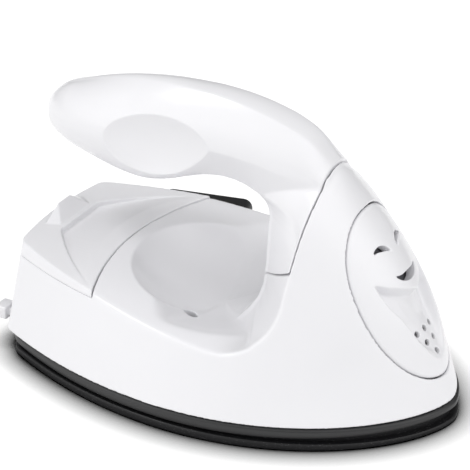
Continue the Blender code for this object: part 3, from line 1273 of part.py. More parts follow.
sole_plate()
heat_shield()
body_shell()
rear_cover()
handle()
face_plate()
face_insert()
mains_inlet()
selector()
heater()
electronics()
fasteners()
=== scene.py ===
"""Mini heat press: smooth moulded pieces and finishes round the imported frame, on a white table."""
import math

import bmesh
import bpy
import numpy
from mathutils import Matrix, Vector


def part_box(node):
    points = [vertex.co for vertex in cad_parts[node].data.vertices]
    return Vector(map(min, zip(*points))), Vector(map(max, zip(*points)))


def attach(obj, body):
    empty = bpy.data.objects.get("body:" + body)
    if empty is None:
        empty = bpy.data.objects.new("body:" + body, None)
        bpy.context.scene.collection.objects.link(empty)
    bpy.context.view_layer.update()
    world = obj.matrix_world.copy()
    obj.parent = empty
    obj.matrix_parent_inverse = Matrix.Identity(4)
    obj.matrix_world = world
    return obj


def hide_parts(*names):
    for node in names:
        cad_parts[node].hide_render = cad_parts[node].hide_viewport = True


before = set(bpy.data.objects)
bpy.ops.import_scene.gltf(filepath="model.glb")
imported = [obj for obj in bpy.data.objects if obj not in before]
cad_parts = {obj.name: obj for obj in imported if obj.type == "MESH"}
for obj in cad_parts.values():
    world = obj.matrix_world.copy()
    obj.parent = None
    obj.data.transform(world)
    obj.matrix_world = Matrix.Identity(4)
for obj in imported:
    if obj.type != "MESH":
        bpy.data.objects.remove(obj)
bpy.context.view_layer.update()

# Fits and finish of the moulded pieces
GAP = 0.0003
OVERRUN = 0.004
UNDER_GRIP_Z = 0.0330
WHOLE_VOXEL = 0.00028
SHELL_VOXEL = 0.00020
COVER_VOXEL = 0.00018
GRIP_VOXEL = 0.00018
PLATE_VOXEL = 0.00018
CUTTER_HALF_WIDTH = 0.04
SMOOTH_EDGE_ANGLE = 50
BEVELLED_EDGE_ANGLE = 40
BEVEL_ANGLE = 30

# Hull
NOSE_REACH = 0.0543
HEEL_REACH = 0.0474
BEAM_X = -0.0020
SOLE_HALF_WIDTH = 0.0343
HEEL_HALF_WIDTH = 0.0238
HEEL_BOW = 0.0016
HEEL_CORNER = 0.0030
SOLE_THICKNESS = 0.0019
SOLE_EDGE_BEVEL = 0.0004
SOLE_NOSE_THINNING = 0.0007
STEP_INSET = 0.0016
PAD_HEIGHT = 0.0027
SHIELD_BOTTOM_Z = 0.0025
SHIELD_TOP_Z = 0.0052
SHIELD_NOSE_RISE = 0.0010
SHIELD_RIM = 0.0050
SHIELD_BULGE = 0.0003
HOUSING_BASE_Z = 0.0055
HOUSING_TOP_Z = 0.0562
ROOF_START_Z = 0.0440
SEAM_TOP_Z = 0.0546
NOSE_BASE_X = 0.0537
SEAM_TOP_X = 0.0243
NOSE_BULGE = 0.0037
DRAFT_SLOPE = 0.37
NOSE_FULLNESS_BASE = 1.60
NOSE_FULLNESS_TOP = 2.25
FULLNESS_RISE = 0.0360
HOUSING_HEEL_REACH = 0.0490
HOUSING_HEEL_CORNER = 0.0018
HEEL_LEAN = 0.0004
COVER_SEAT_Z = 0.0220

# How soft the whole moulding is: stretches of height, width and length from crisp to soft
LOW_Z_STRETCH = (0.0300, 0.0370)
SIDE_Y_STRETCH = (0.0185, 0.0245)
FOOT_X_STRETCH = (0.0030, 0.0100)
JOINT_X_STRETCH = (0.0145, 0.0215)
JOINT_Z_STRETCH = (0.0420, 0.0470)
FOOT_SOFTNESS = 0.7
JOINT_SOFTNESS = 0.9
LEAST_SOFTNESS = 0.03
CRISP_FOOT_HEIGHT = 0.001
WHOLE_ROUNDS = 36
WHOLE_KEEP = 0.35

# Saddle, bowl and neck
SADDLE_RADIUS = 0.0120
SADDLE_CENTRE_X = 0.0104
SADDLE_CENTRE_Z = 0.0311
DECK_SLOPE = 0.13
BOWL_X = -0.0030
BOWL_BOTTOM_Z = 0.0134
BOWL_RADIUS = 0.0275
BOWL_RIM_BLEND = 0.0003
BOWL_SIDE_BLEND = 0.0100
BOWL_FRONT_TURNS = (0.40, 1.00)
BOWL_REAR_TURNS = (1.57, 2.00)
BOWL_FRONT_X = 0.0164
NECK_REAR_X = 0.0112
NECK_SEAM_REAR_Z = 0.0281
NECK_SEAM_FRONT_Z = 0.0364
NECK_HALF_WIDTH = 0.0080
NECK_TOP_Z = 0.0450
NECK_FOLD_Z = 0.0518
NECK_FOOT_Z = 0.0120
NECK_CORNER = 0.0010
NECK_FLARE = 0.0100
NECK_OVERLAP = 0.0021
JOINT_REAR_REACH = 0.0030

# Grip
GRIP_REAR_X = -0.0479
GRIP_BASE_Z = 0.0417
GRIP_HEIGHT = 0.0242
GRIP_HALF_WIDTH = 0.0104
SCOOP_X = -0.0130
SCOOP_Z = 0.0538
SCOOP_HALF_LENGTH = 0.0158
SCOOP_HALF_HEIGHT = 0.0102
SCOOP_DEPTH = 0.0036
SCOOP_TILT = 0.10
SCOOP_LENGTH_FACTOR = 1.25
SCOOP_HEIGHT_FACTOR = 1.50
GRIP_END_SHARE = 0.12
GRIP_END_CROWDING = 1.8
GRIP_END_NARROWING = 0.96

# Rear cover
COVER_ARC_X = -0.0275
COVER_CORNER_X = -0.0222
COVER_CORNER_Y = 0.0249
COVER_WING_Z = 0.0252
COVER_FRONT_Z = 0.0236
COVER_MIDDLE_Z = 0.0246
COVER_SUNK_Z = 0.0236
COVER_TAIL_Z = 0.0282
COVER_TAIL_X = -0.0463
COVER_TAIL_HALF_WIDTH = 0.0022
COVER_TAIL_FOOT_X = -0.0417
COVER_TAIL_FOOT = 0.0077

# Face plate
FACE_X = 0.0412
FACE_Z = 0.0288
FACE_LEAN = 0.535
FACE_HALF_HEIGHT = 0.0200
FACE_HALF_WIDTH = 0.0129
FACE_THICKNESS = 0.0014
FACE_CROWN = 0.0012
FACE_RIM = 0.0003
FACE_GROOVE = 0.00035
FACE_REACH = 0.0090
FACE_TOP_FULLNESS = 2.4
FACE_POCKET_DEPTH = 0.0036
FACE_PAN_INSET = 0.0019
EYE_OFFSET = 0.0041
EYE_HEIGHT = 0.0095
EYE_RADIUS = 0.0027
EYE_THICKNESS = 0.0013
SMILE_HEIGHT = 0.0072
SMILE_RADIUS = 0.0048
SMILE_THICKNESS = 0.0021
SMILE_ARC = (205, 335)
EYE_ARCS = ((1, 32, 185), (-1, -5, 148))
BIB_DEPTH = 0.0029
BIB_FOOT_HEIGHT = -0.0185
BIB_KNEE_HEIGHT = -0.0060
BIB_WALL = 0.0010
VENT_RADIUS = 0.0007
VENT_PITCH = 0.0030
VENT_TOP_HEIGHT = -0.0091
VENT_ROW = 0.0028
VENT_COUNTS = (3, 2, 1)

# Inlet, selector and lamp
INLET_X = -0.0250
INLET_Y = 0.0304
INLET_TURN = 0.225
INLET_LENGTH = 0.0222
INLET_TOP_Z = 0.0213
INLET_BOTTOM_Z = HOUSING_BASE_Z + GAP
INLET_DEPTH = 0.0110
INLET_CORNER = 0.0022
SOCKET_WIDTH = 0.0130
SOCKET_HEIGHT = 0.0074
SOCKET_DEPTH = 0.0095
SOCKET_CORNER = 0.0018
SOCKET_BEVEL = 0.0004
KNOB_BEVEL = 0.0006
SELECTOR_Y = -0.0190
SELECTOR_Z = 0.0070
SELECTOR_REACH = 0.0523
SELECTOR_STEM_WIDTH = 0.0014
SELECTOR_STEM_HEIGHT = 0.0016
SELECTOR_TRAVEL = 0.0080
SLOT_HALF = 0.0010
SLOT_END_X = -0.0390
LAMP_X = -0.0047
LAMP_Y = -0.0123
LAMP_Z = 0.0148
LAMP_RADIUS = 0.0012
LAMP_BASE_Z = 0.0116
LAMP_HOLE_TOP_Z = 0.03
LAMP_SIDES = 48

# Shares along the grip: place, then top, bottom, half width, crease height, crest strip and underside
GRIP_SHARES = (
    (0.000, 0.445, 0.390, 0.10, 0.415, 0.10, 0.10),
    (0.008, 0.525, 0.320, 0.27, 0.415, 0.14, 0.16),
    (0.028, 0.620, 0.262, 0.44, 0.420, 0.12, 0.25),
    (0.066, 0.708, 0.222, 0.62, 0.430, 0.10, 0.34),
    (0.120, 0.772, 0.176, 0.79, 0.432, 0.08, 0.42),
    (0.187, 0.842, 0.132, 0.91, 0.436, 0.11, 0.48),
    (0.255, 0.900, 0.088, 0.98, 0.440, 0.13, 0.52),
    (0.322, 0.944, 0.046, 1.00, 0.445, 0.15, 0.54),
    (0.390, 0.975, 0.030, 0.99, 0.465, 0.18, 0.55),
    (0.457, 0.994, 0.062, 0.96, 0.495, 0.21, 0.54),
    (0.525, 1.000, 0.138, 0.91, 0.530, 0.24, 0.53),
    (0.592, 1.000, 0.205, 0.86, 0.550, 0.27, 0.52),
    (0.660, 0.988, 0.240, 0.82, 0.552, 0.29, 0.53),
    (0.727, 0.961, 0.225, 0.80, 0.540, 0.31, 0.55),
    (0.795, 0.917, 0.165, 0.79, 0.520, 0.32, 0.60),
    (0.862, 0.855, 0.150, 0.77, 0.480, 0.32, 0.64),
    (0.930, 0.752, 0.185, 0.70, 0.440, 0.29, 0.64),
    (1.000, 0.538, 0.240, 0.60, 0.405, 0.20, 0.56),
)
CREST_SHARES = (0.10, 0.35)
FLANK_SHARES = (0.52, 0.64)
CREST_TURN = 0.95
# Shares up the neck: height, flare to the rear and half width
NECK_SHARES = (
    (1.30, 0.30, 0.72), (1.04, 0.30, 0.75), (1.00, 0.13, 0.75), (0.96, 0.04, 0.77), (0.91, 0.00, 0.79),
    (0.75, 0.00, 0.88), (0.55, 0.00, 1.00), (0.42, 0.04, 1.04), (0.32, 0.14, 1.10), (0.22, 0.34, 1.16),
    (0.12, 0.62, 1.10), (0.00, 0.95, 0.90),
)
# Half outline of the sunk bib on the face plate, then its rings: size and depth
BIB_SHARES = (
    (0.000, 0.000), (0.287, 0.088), (0.543, 0.196), (0.713, 0.299), (0.705, 0.167), (0.659, -0.010),
    (0.558, -0.181), (0.488, -0.343), (0.403, -0.515), (0.279, -0.686), (0.140, -0.809), (0.000, -0.848),
)
BIB_MIDDLE_SHARE = -0.275
BIB_RING_SHARES = ((1.00, 0.0), (0.95, 0.22), (0.90, 0.50), (0.83, 0.82), (0.76, 1.0), (0.45, 1.0), (0.15, 1.0))


# ---------------------------------------------------------------- mesh helpers
def shaped(name, bm):
    bmesh.ops.recalc_face_normals(bm, faces=bm.faces)
    mesh = bpy.data.meshes.new(name)
    bm.to_mesh(mesh)
    bm.free()
    made = bpy.data.objects.new(name, mesh)
    bpy.context.scene.collection.objects.link(made)
    return made


def loft(name, rings, merge=0.00001, closed=False):
    """A skin over rings of points: capped at both ends, or closed from the last ring to the first."""
    bm = bmesh.new()
    rows = [[bm.verts.new(point) for point in ring] for ring in rings]
    count = len(rows[0])
    for lower, upper in zip(rows, rows[1:] + rows[:1] if closed else rows[1:]):
        for i in range(count):
            j = (i + 1) % count
            bm.faces.new((lower[i], lower[j], upper[j], upper[i]))
    if not closed:
        bm.faces.new(rows[0])
        bm.faces.new(rows[-1])
    if merge:
        bmesh.ops.remove_doubles(bm, verts=bm.verts, dist=merge)
    return shaped(name, bm)


def prism(outline, low, high, name="prism"):
    return loft(name, [[(x, y, z) for x, y in outline] for z in (low, high)])


def across(profile):
    return loft("across", [[(x, y, z) for x, z in profile] for y in (-CUTTER_HALF_WIDTH, CUTTER_HALF_WIDTH)])


def box(low, high, name="box"):
    bm = bmesh.new()
    bmesh.ops.create_cube(bm, size=1.0)
    centre = (Vector(low) + Vector(high)) / 2
    size = Vector(high) - Vector(low)
    bmesh.ops.transform(bm, matrix=Matrix.Translation(centre) @ Matrix.Diagonal((*size, 1.0)), verts=bm.verts)
    return shaped(name, bm)


def rod(radius, start, end, faces=48):
    start, end = Vector(start), Vector(end)
    bm = bmesh.new()
    bmesh.ops.create_cone(bm, cap_ends=True, segments=faces, radius1=radius, radius2=radius,
                          depth=(end - start).length)
    turn = (end - start).to_track_quat("Z", "Y").to_matrix().to_4x4()
    bmesh.ops.transform(bm, matrix=Matrix.Translation((start + end) / 2) @ turn, verts=bm.verts)
    return shaped("rod", bm)


def ball(radii, centre, turn):
    bm = bmesh.new()
    bmesh.ops.create_uvsphere(bm, u_segments=128, v_segments=80, radius=1.0)
    place = Matrix.Translation(centre) @ Matrix.Rotation(turn, 4, "Y") @ Matrix.Diagonal((*radii, 1.0))
    bmesh.ops.transform(bm, matrix=place, verts=bm.verts)
    return shaped("ball", bm)


def bake(made):
    """Make the result of the object's modifiers its mesh."""
    bpy.context.view_layer.update()
    view = bpy.context.evaluated_depsgraph_get()
    mesh = bpy.data.meshes.new_from_object(made.evaluated_get(view))
    made.modifiers.clear()
    old, made.data = made.data, mesh
    bpy.data.meshes.remove(old)
    return made


def combine(made, *tools):
    """Cut, join or trim with (operation, tool) pairs, and drop the tools."""
    for operation, tool in tools:
        step = made.modifiers.new("step", "BOOLEAN")
        step.operation = operation
        step.solver = "EXACT"
        step.object = tool
    bake(made)
    for _, tool in tools:
        bpy.data.meshes.remove(tool.data)
    return made


def remesh(made, voxel):
    grid = made.modifiers.new("grid", "REMESH")
    grid.mode = "VOXEL"
    grid.voxel_size = voxel
    return bake(made)


def smooth(made, rounds, softness=None):
    """Ease every edge, or where softness, a function of the points, says how much."""
    ease = made.modifiers.new("ease", "SMOOTH")
    ease.factor = 0.5
    ease.iterations = rounds
    if softness:
        count = len(made.data.vertices)
        flat = numpy.empty(count * 3, dtype=numpy.float32)
        made.data.vertices.foreach_get("co", flat)
        group = made.vertex_groups.new(name="soft")
        shares = (softness(flat.reshape(count, 3)) * 10).round().astype(int)
        for step in range(1, 11):
            group.add(numpy.flatnonzero(shares == step).tolist(), step / 10, "REPLACE")
        ease.vertex_group = group.name
    bake(made)
    made.vertex_groups.clear()
    return made


def thin(made, keep):
    """Drop points that the form doesn't need."""
    fewer = made.modifiers.new("fewer", "DECIMATE")
    fewer.ratio = keep
    return bake(made)


def ramp_all(values, low, high):
    share = ((values - low) / (high - low)).clip(0.0, 1.0)
    return share * share * (3 - 2 * share)


def soften(made, voxel, rounds, keep):
    """Round every edge a little, as a moulding tool does."""
    remesh(made, voxel)
    smooth(made, rounds)
    thin(made, keep)
    made.data.shade_smooth()
    return made


def shaded(made, angle):
    """Shade smoothly, apart from edges sharper than the angle."""
    made.data.shade_smooth()
    made.data.set_sharp_from_angle(angle=math.radians(angle))
    return made


def bevelled(made, width, segments=3):
    edge = made.modifiers.new("edge", "BEVEL")
    edge.width = width
    edge.segments = segments
    edge.limit_method = "ANGLE"
    edge.angle_limit = math.radians(BEVEL_ANGLE)
    return shaded(bake(made), BEVELLED_EDGE_ANGLE)


# ---------------------------------------------------------------- the form
def arc(centre, radius, start, end, count):
    steps = [math.radians(start + (end - start) * i / count) for i in range(count + 1)]
    return [(centre[0] + radius * math.cos(a), centre[1] + radius * math.sin(a)) for a in steps]


def between(low, high, count):
    return [low + (high - low) * i / count for i in range(count + 1)]


def rounded_rectangle(half_width, half_height, radius, count=8):
    points = []
    for sx, sy, start in ((1, 1, 0), (-1, 1, 90), (-1, -1, 180), (1, -1, 270)):
        points += arc((sx * (half_width - radius), sy * (half_height - radius)), radius, start, start + 90, count)
    return points


def hull_outline(nose, heel, half_width, heel_half_width, fullness, corner=HEEL_CORNER, side_points=60):
    port = []
    for i in range(side_points + 1):
        turn = math.pi / 2 * i / side_points
        port.append((BEAM_X + (nose - BEAM_X) * math.cos(turn), half_width * math.sin(turn) ** (2 / fullness)))
    corner_x = -heel + HEEL_BOW
    run = BEAM_X - corner_x
    rear_points = side_points // 2
    for i in range(1, rear_points + 1):
        part = (run - corner) * i / rear_points
        port.append((BEAM_X - part, half_width - (half_width - heel_half_width) * (part / run) ** 2))
    start = Vector(port[-1])
    knee = Vector((corner_x, heel_half_width))
    end = Vector((corner_x - HEEL_BOW * corner / heel_half_width, heel_half_width - corner))
    for i in range(1, 9):
        t = i / 8
        port.append(tuple(start * (1 - t) ** 2 + knee * 2 * t * (1 - t) + end * t ** 2))
    for i in range(1, 9):
        y = end.y * (1 - i / 8)
        port.append((-heel + (end.x + heel) * (y / end.y) ** 2, y))
    return port + [(x, -y) for x, y in reversed(port[1:-1])]


def nose_line(z):
    share = (z - HOUSING_BASE_Z) / (SEAM_TOP_Z - HOUSING_BASE_Z)
    straight = NOSE_BASE_X + (SEAM_TOP_X - NOSE_BASE_X) * share
    return straight + NOSE_BULGE * math.sin(math.pi * min(max(share, 0.0), 1.0))


def hull_half_width(z):
    half = SOLE_HALF_WIDTH - DRAFT_SLOPE * (z - HOUSING_BASE_Z)
    if z > ROOF_START_Z:
        half *= math.sqrt(max(0.0, 1 - ((z - ROOF_START_Z) / (HOUSING_TOP_Z - ROOF_START_Z)) ** 2))
    return half


def nose_fullness(z):
    share = min(max((z - HOUSING_BASE_Z) / FULLNESS_RISE, 0.0), 1.0)
    return NOSE_FULLNESS_BASE + (NOSE_FULLNESS_TOP - NOSE_FULLNESS_BASE) * share


def side_at(x, z):
    share = (x - BEAM_X) / (nose_line(z) - BEAM_X)
    return hull_half_width(z) * max(0.0, 1 - share ** 2) ** (1 / nose_fullness(z))


def hull(name, levels):
    rings = []
    for z in levels:
        rise = (z - HOUSING_BASE_Z) / (COVER_SEAT_Z - HOUSING_BASE_Z)
        heel_half = HEEL_HALF_WIDTH - DRAFT_SLOPE * (z - HOUSING_BASE_Z)
        half = hull_half_width(z)
        outline = hull_outline(nose_line(z), HOUSING_HEEL_REACH - HEEL_LEAN * rise, half, min(heel_half, half),
                               nose_fullness(z), HOUSING_HEEL_CORNER)
        rings.append([(x, y, z) for x, y in outline])
    return loft(name, rings)


def seam_x(z):
    foot = SADDLE_CENTRE_X + SADDLE_RADIUS
    return foot + (SEAM_TOP_X - foot) / (SEAM_TOP_Z - SADDLE_CENTRE_Z) * (z - SADDLE_CENTRE_Z)


def deck_z(x):
    turn = math.atan(DECK_SLOPE)
    start_x = SADDLE_CENTRE_X - SADDLE_RADIUS * math.sin(turn)
    return SADDLE_CENTRE_Z - SADDLE_RADIUS * math.cos(turn) + DECK_SLOPE * (start_x - x)


def ramp(along, shares):
    return min(1.0, max(0.0, (along - shares[0]) / (shares[1] - shares[0])))


def saddle_z(x):
    """Height of the saddle's floor: the sloping deck, then the arc up to the neck."""
    turn = math.atan(DECK_SLOPE)
    if x < SADDLE_CENTRE_X - SADDLE_RADIUS * math.sin(turn):
        return deck_z(x)
    return SADDLE_CENTRE_Z - math.sqrt(max(0.0, SADDLE_RADIUS ** 2 - (x - SADDLE_CENTRE_X) ** 2))


def bowl_body(sides=180, ring_count=36):
    """The thumb bowl's space: its rim is crisp at the rear and runs out to nothing at the sides."""
    def dish_z(reach):
        return BOWL_BOTTOM_Z + BOWL_RADIUS - math.sqrt(BOWL_RADIUS ** 2 - reach ** 2)

    def ease(turn, turns):
        share = ramp(turn, turns)
        return share * share * (3 - 2 * share)
    spokes = []
    for i in range(sides):
        turn = math.tau * i / sides
        off = min(turn, math.tau - turn)
        soft = min(ease(off, BOWL_FRONT_TURNS), 1 - ease(off, BOWL_REAR_TURNS))
        blend = BOWL_RIM_BLEND + (BOWL_SIDE_BLEND - BOWL_RIM_BLEND) * soft
        near, far = 0.0, BOWL_RADIUS
        if math.cos(turn) > 0:
            far = min(far, (BOWL_FRONT_X - BOWL_X) / math.cos(turn))
        for _ in range(24):
            middle = (near + far) / 2
            if dish_z(middle) - saddle_z(BOWL_X + middle * math.cos(turn)) < blend:
                near = middle
            else:
                far = middle
        spokes.append((turn, blend, near))

    def ring(share, lift=0.0):
        made = []
        for turn, blend, end in spokes:
            reach = end * share
            x = BOWL_X + reach * math.cos(turn)
            dish, deck = dish_z(reach), saddle_z(x)
            overlap = max(blend - abs(dish - deck), 0.0)
            made.append((x, reach * math.sin(turn), min(dish, deck) - overlap ** 2 / (4 * blend) + lift))
        return made
    shares = [math.sin(math.pi / 2 * (i + 1) / ring_count) for i in range(ring_count - 1)]
    return loft("bowl", [ring(share) for share in shares] + [ring(1.0, GAP), ring(1.0, OVERRUN)])


def cover_front_x(y):
    return COVER_ARC_X + (COVER_CORNER_X - COVER_ARC_X) * (y / COVER_CORNER_Y) ** 2


def cover_region(shift, count=60):
    half = SOLE_HALF_WIDTH + OVERRUN
    rear = -HOUSING_HEEL_REACH - OVERRUN
    steps = [half * (1 - 2 * i / count) for i in range(count + 1)]
    return [(cover_front_x(y) + shift, y) for y in steps] + [(rear, -half), (rear, half)]


def face_frame():
    across_axis = Vector((0.0, 1.0, 0.0))
    up = Vector((-math.sin(FACE_LEAN), 0.0, math.cos(FACE_LEAN)))
    turn = Matrix((across_axis, up, across_axis.cross(up))).transposed().to_4x4()
    return Matrix.Translation((FACE_X, 0.0, FACE_Z)) @ turn


FACE = face_frame()


def on_face(outline, depth, height):
    made = prism(outline, -depth, height)
    made.data.transform(FACE)
    return made


def nose_surface(across_plate, up_plate):
    low, high = -HOUSING_TOP_Z / 2, HOUSING_TOP_Z / 2
    for _ in range(20):
        middle = (low + high) / 2
        x, y, z = FACE @ Vector((across_plate, up_plate, middle))
        if x < nose_line(z) and abs(y) < side_at(x, z):
            low = middle
        else:
            high = middle
    return low


def face_oval(margin=0.0, count=120):
    points = []
    for i in range(count):
        turn = 2 * math.pi * i / count
        fullness = FACE_TOP_FULLNESS if math.sin(turn) > 0 else 2.0
        wide, high = (math.copysign(abs(v) ** (2 / fullness), v) for v in (math.cos(turn), math.sin(turn)))
        points.append(((FACE_HALF_WIDTH + margin) * wide, (FACE_HALF_HEIGHT + margin) * high))
    return points


def face_body(name, margin, low, high, crown=0.0, rim=0.0):
    outline = face_oval(margin)
    shares = [1.0] + [1 - 0.9 * ((i + 1) / 11) for i in range(11)]

    def ring(share, lift, dome):
        return [FACE @ Vector((x * share, y * share, nose_surface(x * share, y * share) + lift
                               + dome * (1 - share ** 2))) for x, y in outline]
    under = [ring(share, low, 0.0) for share in reversed(shares)]
    over = [ring(share, high, crown) for share in shares[1:]]
    edge = [ring(1.0, high - rim, crown)]
    if rim:
        edge.append(ring(1 - rim / FACE_HALF_WIDTH, high, crown))
    return loft(name, under + edge + over)


def crescent(centre, radius, thickness, start, end, count=28):
    outer = arc(centre, radius, start, end, count)
    inner = []
    for i, (x, y) in enumerate(reversed(outer[1:-1])):
        pull = 1 - thickness * math.sin(math.pi * (i + 1) / count) / radius
        inner.append((centre[0] + (x - centre[0]) * pull, centre[1] + (y - centre[1]) * pull))
    return outer + inner


def smooth_table(table, along):
    """A row of a table of shares at a place, on smooth curves through its rows."""
    last = len(table) - 1
    i = max(0, min(last - 1, sum(row[0] <= along for row in table) - 1))
    a, b, c, d = (table[max(0, min(last, k))] for k in (i - 1, i, i + 1, i + 2))
    t = (along - b[0]) / (c[0] - b[0])
    made = []
    for k in range(1, len(b)):
        slope_b = (c[k] - a[k]) / max(c[0] - a[0], 1e-6) * (c[0] - b[0])
        slope_c = (d[k] - b[k]) / max(d[0] - b[0], 1e-6) * (c[0] - b[0])
        made.append((2 * t ** 3 - 3 * t ** 2 + 1) * b[k] + (t ** 3 - 2 * t ** 2 + t) * slope_b
                    + (-2 * t ** 3 + 3 * t ** 2) * c[k] + (t ** 3 - t ** 2) * slope_c)
    return made


def neck_ring(z, side_points=10):
    share = (z - NECK_FOOT_Z) / (NECK_TOP_Z - NECK_FOOT_Z)
    below = [row for row in NECK_SHARES if row[0] <= share + 1e-9]
    above = [row for row in NECK_SHARES if row[0] >= share - 1e-9]
    low, high = below[0], above[-1]
    mix = 0.0 if low is high else (share - low[0]) / (high[0] - low[0])
    rear = NECK_REAR_X - NECK_FLARE * (low[1] + (high[1] - low[1]) * mix)
    half = NECK_HALF_WIDTH * (low[2] + (high[2] - low[2]) * mix)
    front = seam_x(max(z, SADDLE_CENTRE_Z))
    if z < SADDLE_CENTRE_Z:
        drop = min((SADDLE_CENTRE_Z - z) / SADDLE_RADIUS, 0.8)
        front = SADDLE_CENTRE_X + SADDLE_RADIUS * math.sqrt(1 - drop ** 2)
    side = side_at(front, z)
    corner = NECK_CORNER
    rows = [(rear, 0.0), (rear, (half - corner) / 2)]
    for i in range(8):
        turn = math.pi / 2 * i / 7
        rows.append((rear + corner * (1 - math.cos(turn)), half - corner + corner * math.sin(turn)))
    for i in range(1, side_points + 1):
        rows.append((rear + corner + (front - rear - corner) * i / side_points, half + (side - half) * i / side_points))
    rows.append((front + NECK_OVERLAP, max(side - NECK_OVERLAP, half / 2)))
    return [(x, y, z) for x, y in rows + [(x, -y) for x, y in reversed(rows[1:])]]


def inlet_frame():
    along = Vector((math.cos(INLET_TURN), math.sin(INLET_TURN), 0.0))
    up = Vector((0.0, 0.0, 1.0))
    turn = Matrix((along, up, along.cross(up))).transposed().to_4x4()
    return Matrix.Translation((INLET_X, INLET_Y, (INLET_TOP_Z + INLET_BOTTOM_Z) / 2)) @ turn


INLET = inlet_frame()


def at_inlet(half_length, half_height, corner, low, high):
    made = prism(rounded_rectangle(half_length, half_height, corner), low, high)
    made.data.transform(INLET)
    return made


# ---------------------------------------------------------------- the pieces
def grip_ring(along, strip_points=4, side_points=18, under_points=12):
    top, bottom, width, crease, strip, under = smooth_table(GRIP_SHARES, along)
    x = GRIP_REAR_X + (SEAM_TOP_X - GRIP_REAR_X) * along
    half = GRIP_HALF_WIDTH * width
    z_top, z_bottom, z_crease = (GRIP_BASE_Z + GRIP_HEIGHT * v for v in (top, bottom, crease))
    strip_half = GRIP_HALF_WIDTH * strip
    under_half = min(GRIP_HALF_WIDTH * under, half)
    rise, fall = z_top - z_crease, z_crease - z_bottom
    fold = ramp(along, FLANK_SHARES)
    lead = CREST_TURN * ramp(along, CREST_SHARES)
    side = [(strip_half * i / strip_points, z_top - rise * 0.03 * (i / strip_points) ** 2) for i in range(strip_points)]
    for i in range(side_points + 1):
        t = lead + (math.pi / 2 - lead) * i / side_points
        side.append((strip_half + (half - strip_half) * (math.sin(t) - math.sin(lead)) / (1 - math.sin(lead)),
                     z_crease + rise * 0.97 * math.cos(t) / math.cos(lead)))
    for i in range(1, under_points + 1):
        share = i / under_points
        t = share * math.pi / 2
        round_y, round_z = half + (under_half - half) * (1 - math.cos(t)), z_crease - fall * 0.92 * math.sin(t)
        line_y, line_z = half + (under_half - half) * share, z_crease - fall * 0.92 * share
        side.append((round_y + (line_y - round_y) * fold, round_z + (line_z - round_z) * fold))
    side += [(under_half * 0.85, z_bottom + fall * 0.03), (under_half * 0.6, z_bottom), (under_half * 0.3, z_bottom),
             (0.0, z_bottom)]
    return [(x, y, z) for y, z in side + [(-y, z) for y, z in reversed(side[1:-1])]]


def above_joint(margin):
    """The side view of all that belongs to the handle: over the neck's joint and behind the tower's seam."""
    top = HOUSING_TOP_Z + GRIP_HEIGHT
    rear = GRIP_REAR_X - OVERRUN
    low_x = NECK_REAR_X - JOINT_REAR_REACH
    slope = (NECK_SEAM_FRONT_Z - NECK_SEAM_REAR_Z) / (seam_x(NECK_SEAM_FRONT_Z) - NECK_REAR_X)
    return [(low_x, NECK_SEAM_REAR_Z + slope * (low_x - NECK_REAR_X) + margin),
            (seam_x(NECK_SEAM_FRONT_Z) - margin, NECK_SEAM_FRONT_Z + margin), (seam_x(top) - margin, top), (rear, top),
            (rear, UNDER_GRIP_Z), (low_x - SADDLE_RADIUS, UNDER_GRIP_Z)]


def whole_moulding():
    """Housing, neck and handle as one rounded form, which is parted afterwards so the seams stay crisp."""
    top = HOUSING_TOP_Z + OVERRUN
    rear = -HOUSING_HEEL_REACH - OVERRUN
    turn = math.degrees(math.atan(DECK_SLOPE))
    levels = between(HOUSING_BASE_Z, ROOF_START_Z, 40) + between(ROOF_START_Z, HOUSING_TOP_Z - GAP, 24)[1:]
    whole = hull("whole", levels)
    saddle = [(rear, deck_z(rear))] + arc((SADDLE_CENTRE_X, SADDLE_CENTRE_Z), SADDLE_RADIUS, -90 - turn, 0, 40)
    saddle += [(seam_x(top), top), (rear, top)]
    neck = loft("neck", [neck_ring(z) for z in between(NECK_FOOT_Z, NECK_FOLD_Z, 90)])
    rings = [grip_ring((i / 40) ** GRIP_END_CROWDING * GRIP_END_SHARE) for i in range(40)]
    rings += [grip_ring(along) for along in between(GRIP_END_SHARE, 1.0, 100)]
    rings.append([(x + GAP, y * GRIP_END_NARROWING, z - GAP * 3) for x, y, z in rings[-1]])
    combine(whole, ("DIFFERENCE", across(saddle)), ("DIFFERENCE", bowl_body()), ("UNION", neck),
            ("UNION", loft("grip", rings)))
    remesh(whole, WHOLE_VOXEL)

    def softness(co):
        x, y, z = co.T
        low = 1 - ramp_all(z, *LOW_Z_STRETCH)
        edge = ramp_all(abs(y), *SIDE_Y_STRETCH) * low
        foot = ramp_all(x, *FOOT_X_STRETCH) * FOOT_SOFTNESS * low
        joint = ramp_all(x, *JOINT_X_STRETCH) * ramp_all(z, *JOINT_Z_STRETCH) * JOINT_SOFTNESS
        return (edge + foot + joint).clip(LEAST_SOFTNESS, 1.0) * (z > HOUSING_BASE_Z + CRISP_FOOT_HEIGHT)
    smooth(whole, WHOLE_ROUNDS, softness)
    return thin(whole, WHOLE_KEEP)


WHOLE = whole_moulding()


def part_of_whole(name):
    made = WHOLE.copy()
    made.data = WHOLE.data.copy()
    made.name = name
    bpy.context.scene.collection.objects.link(made)
    return made


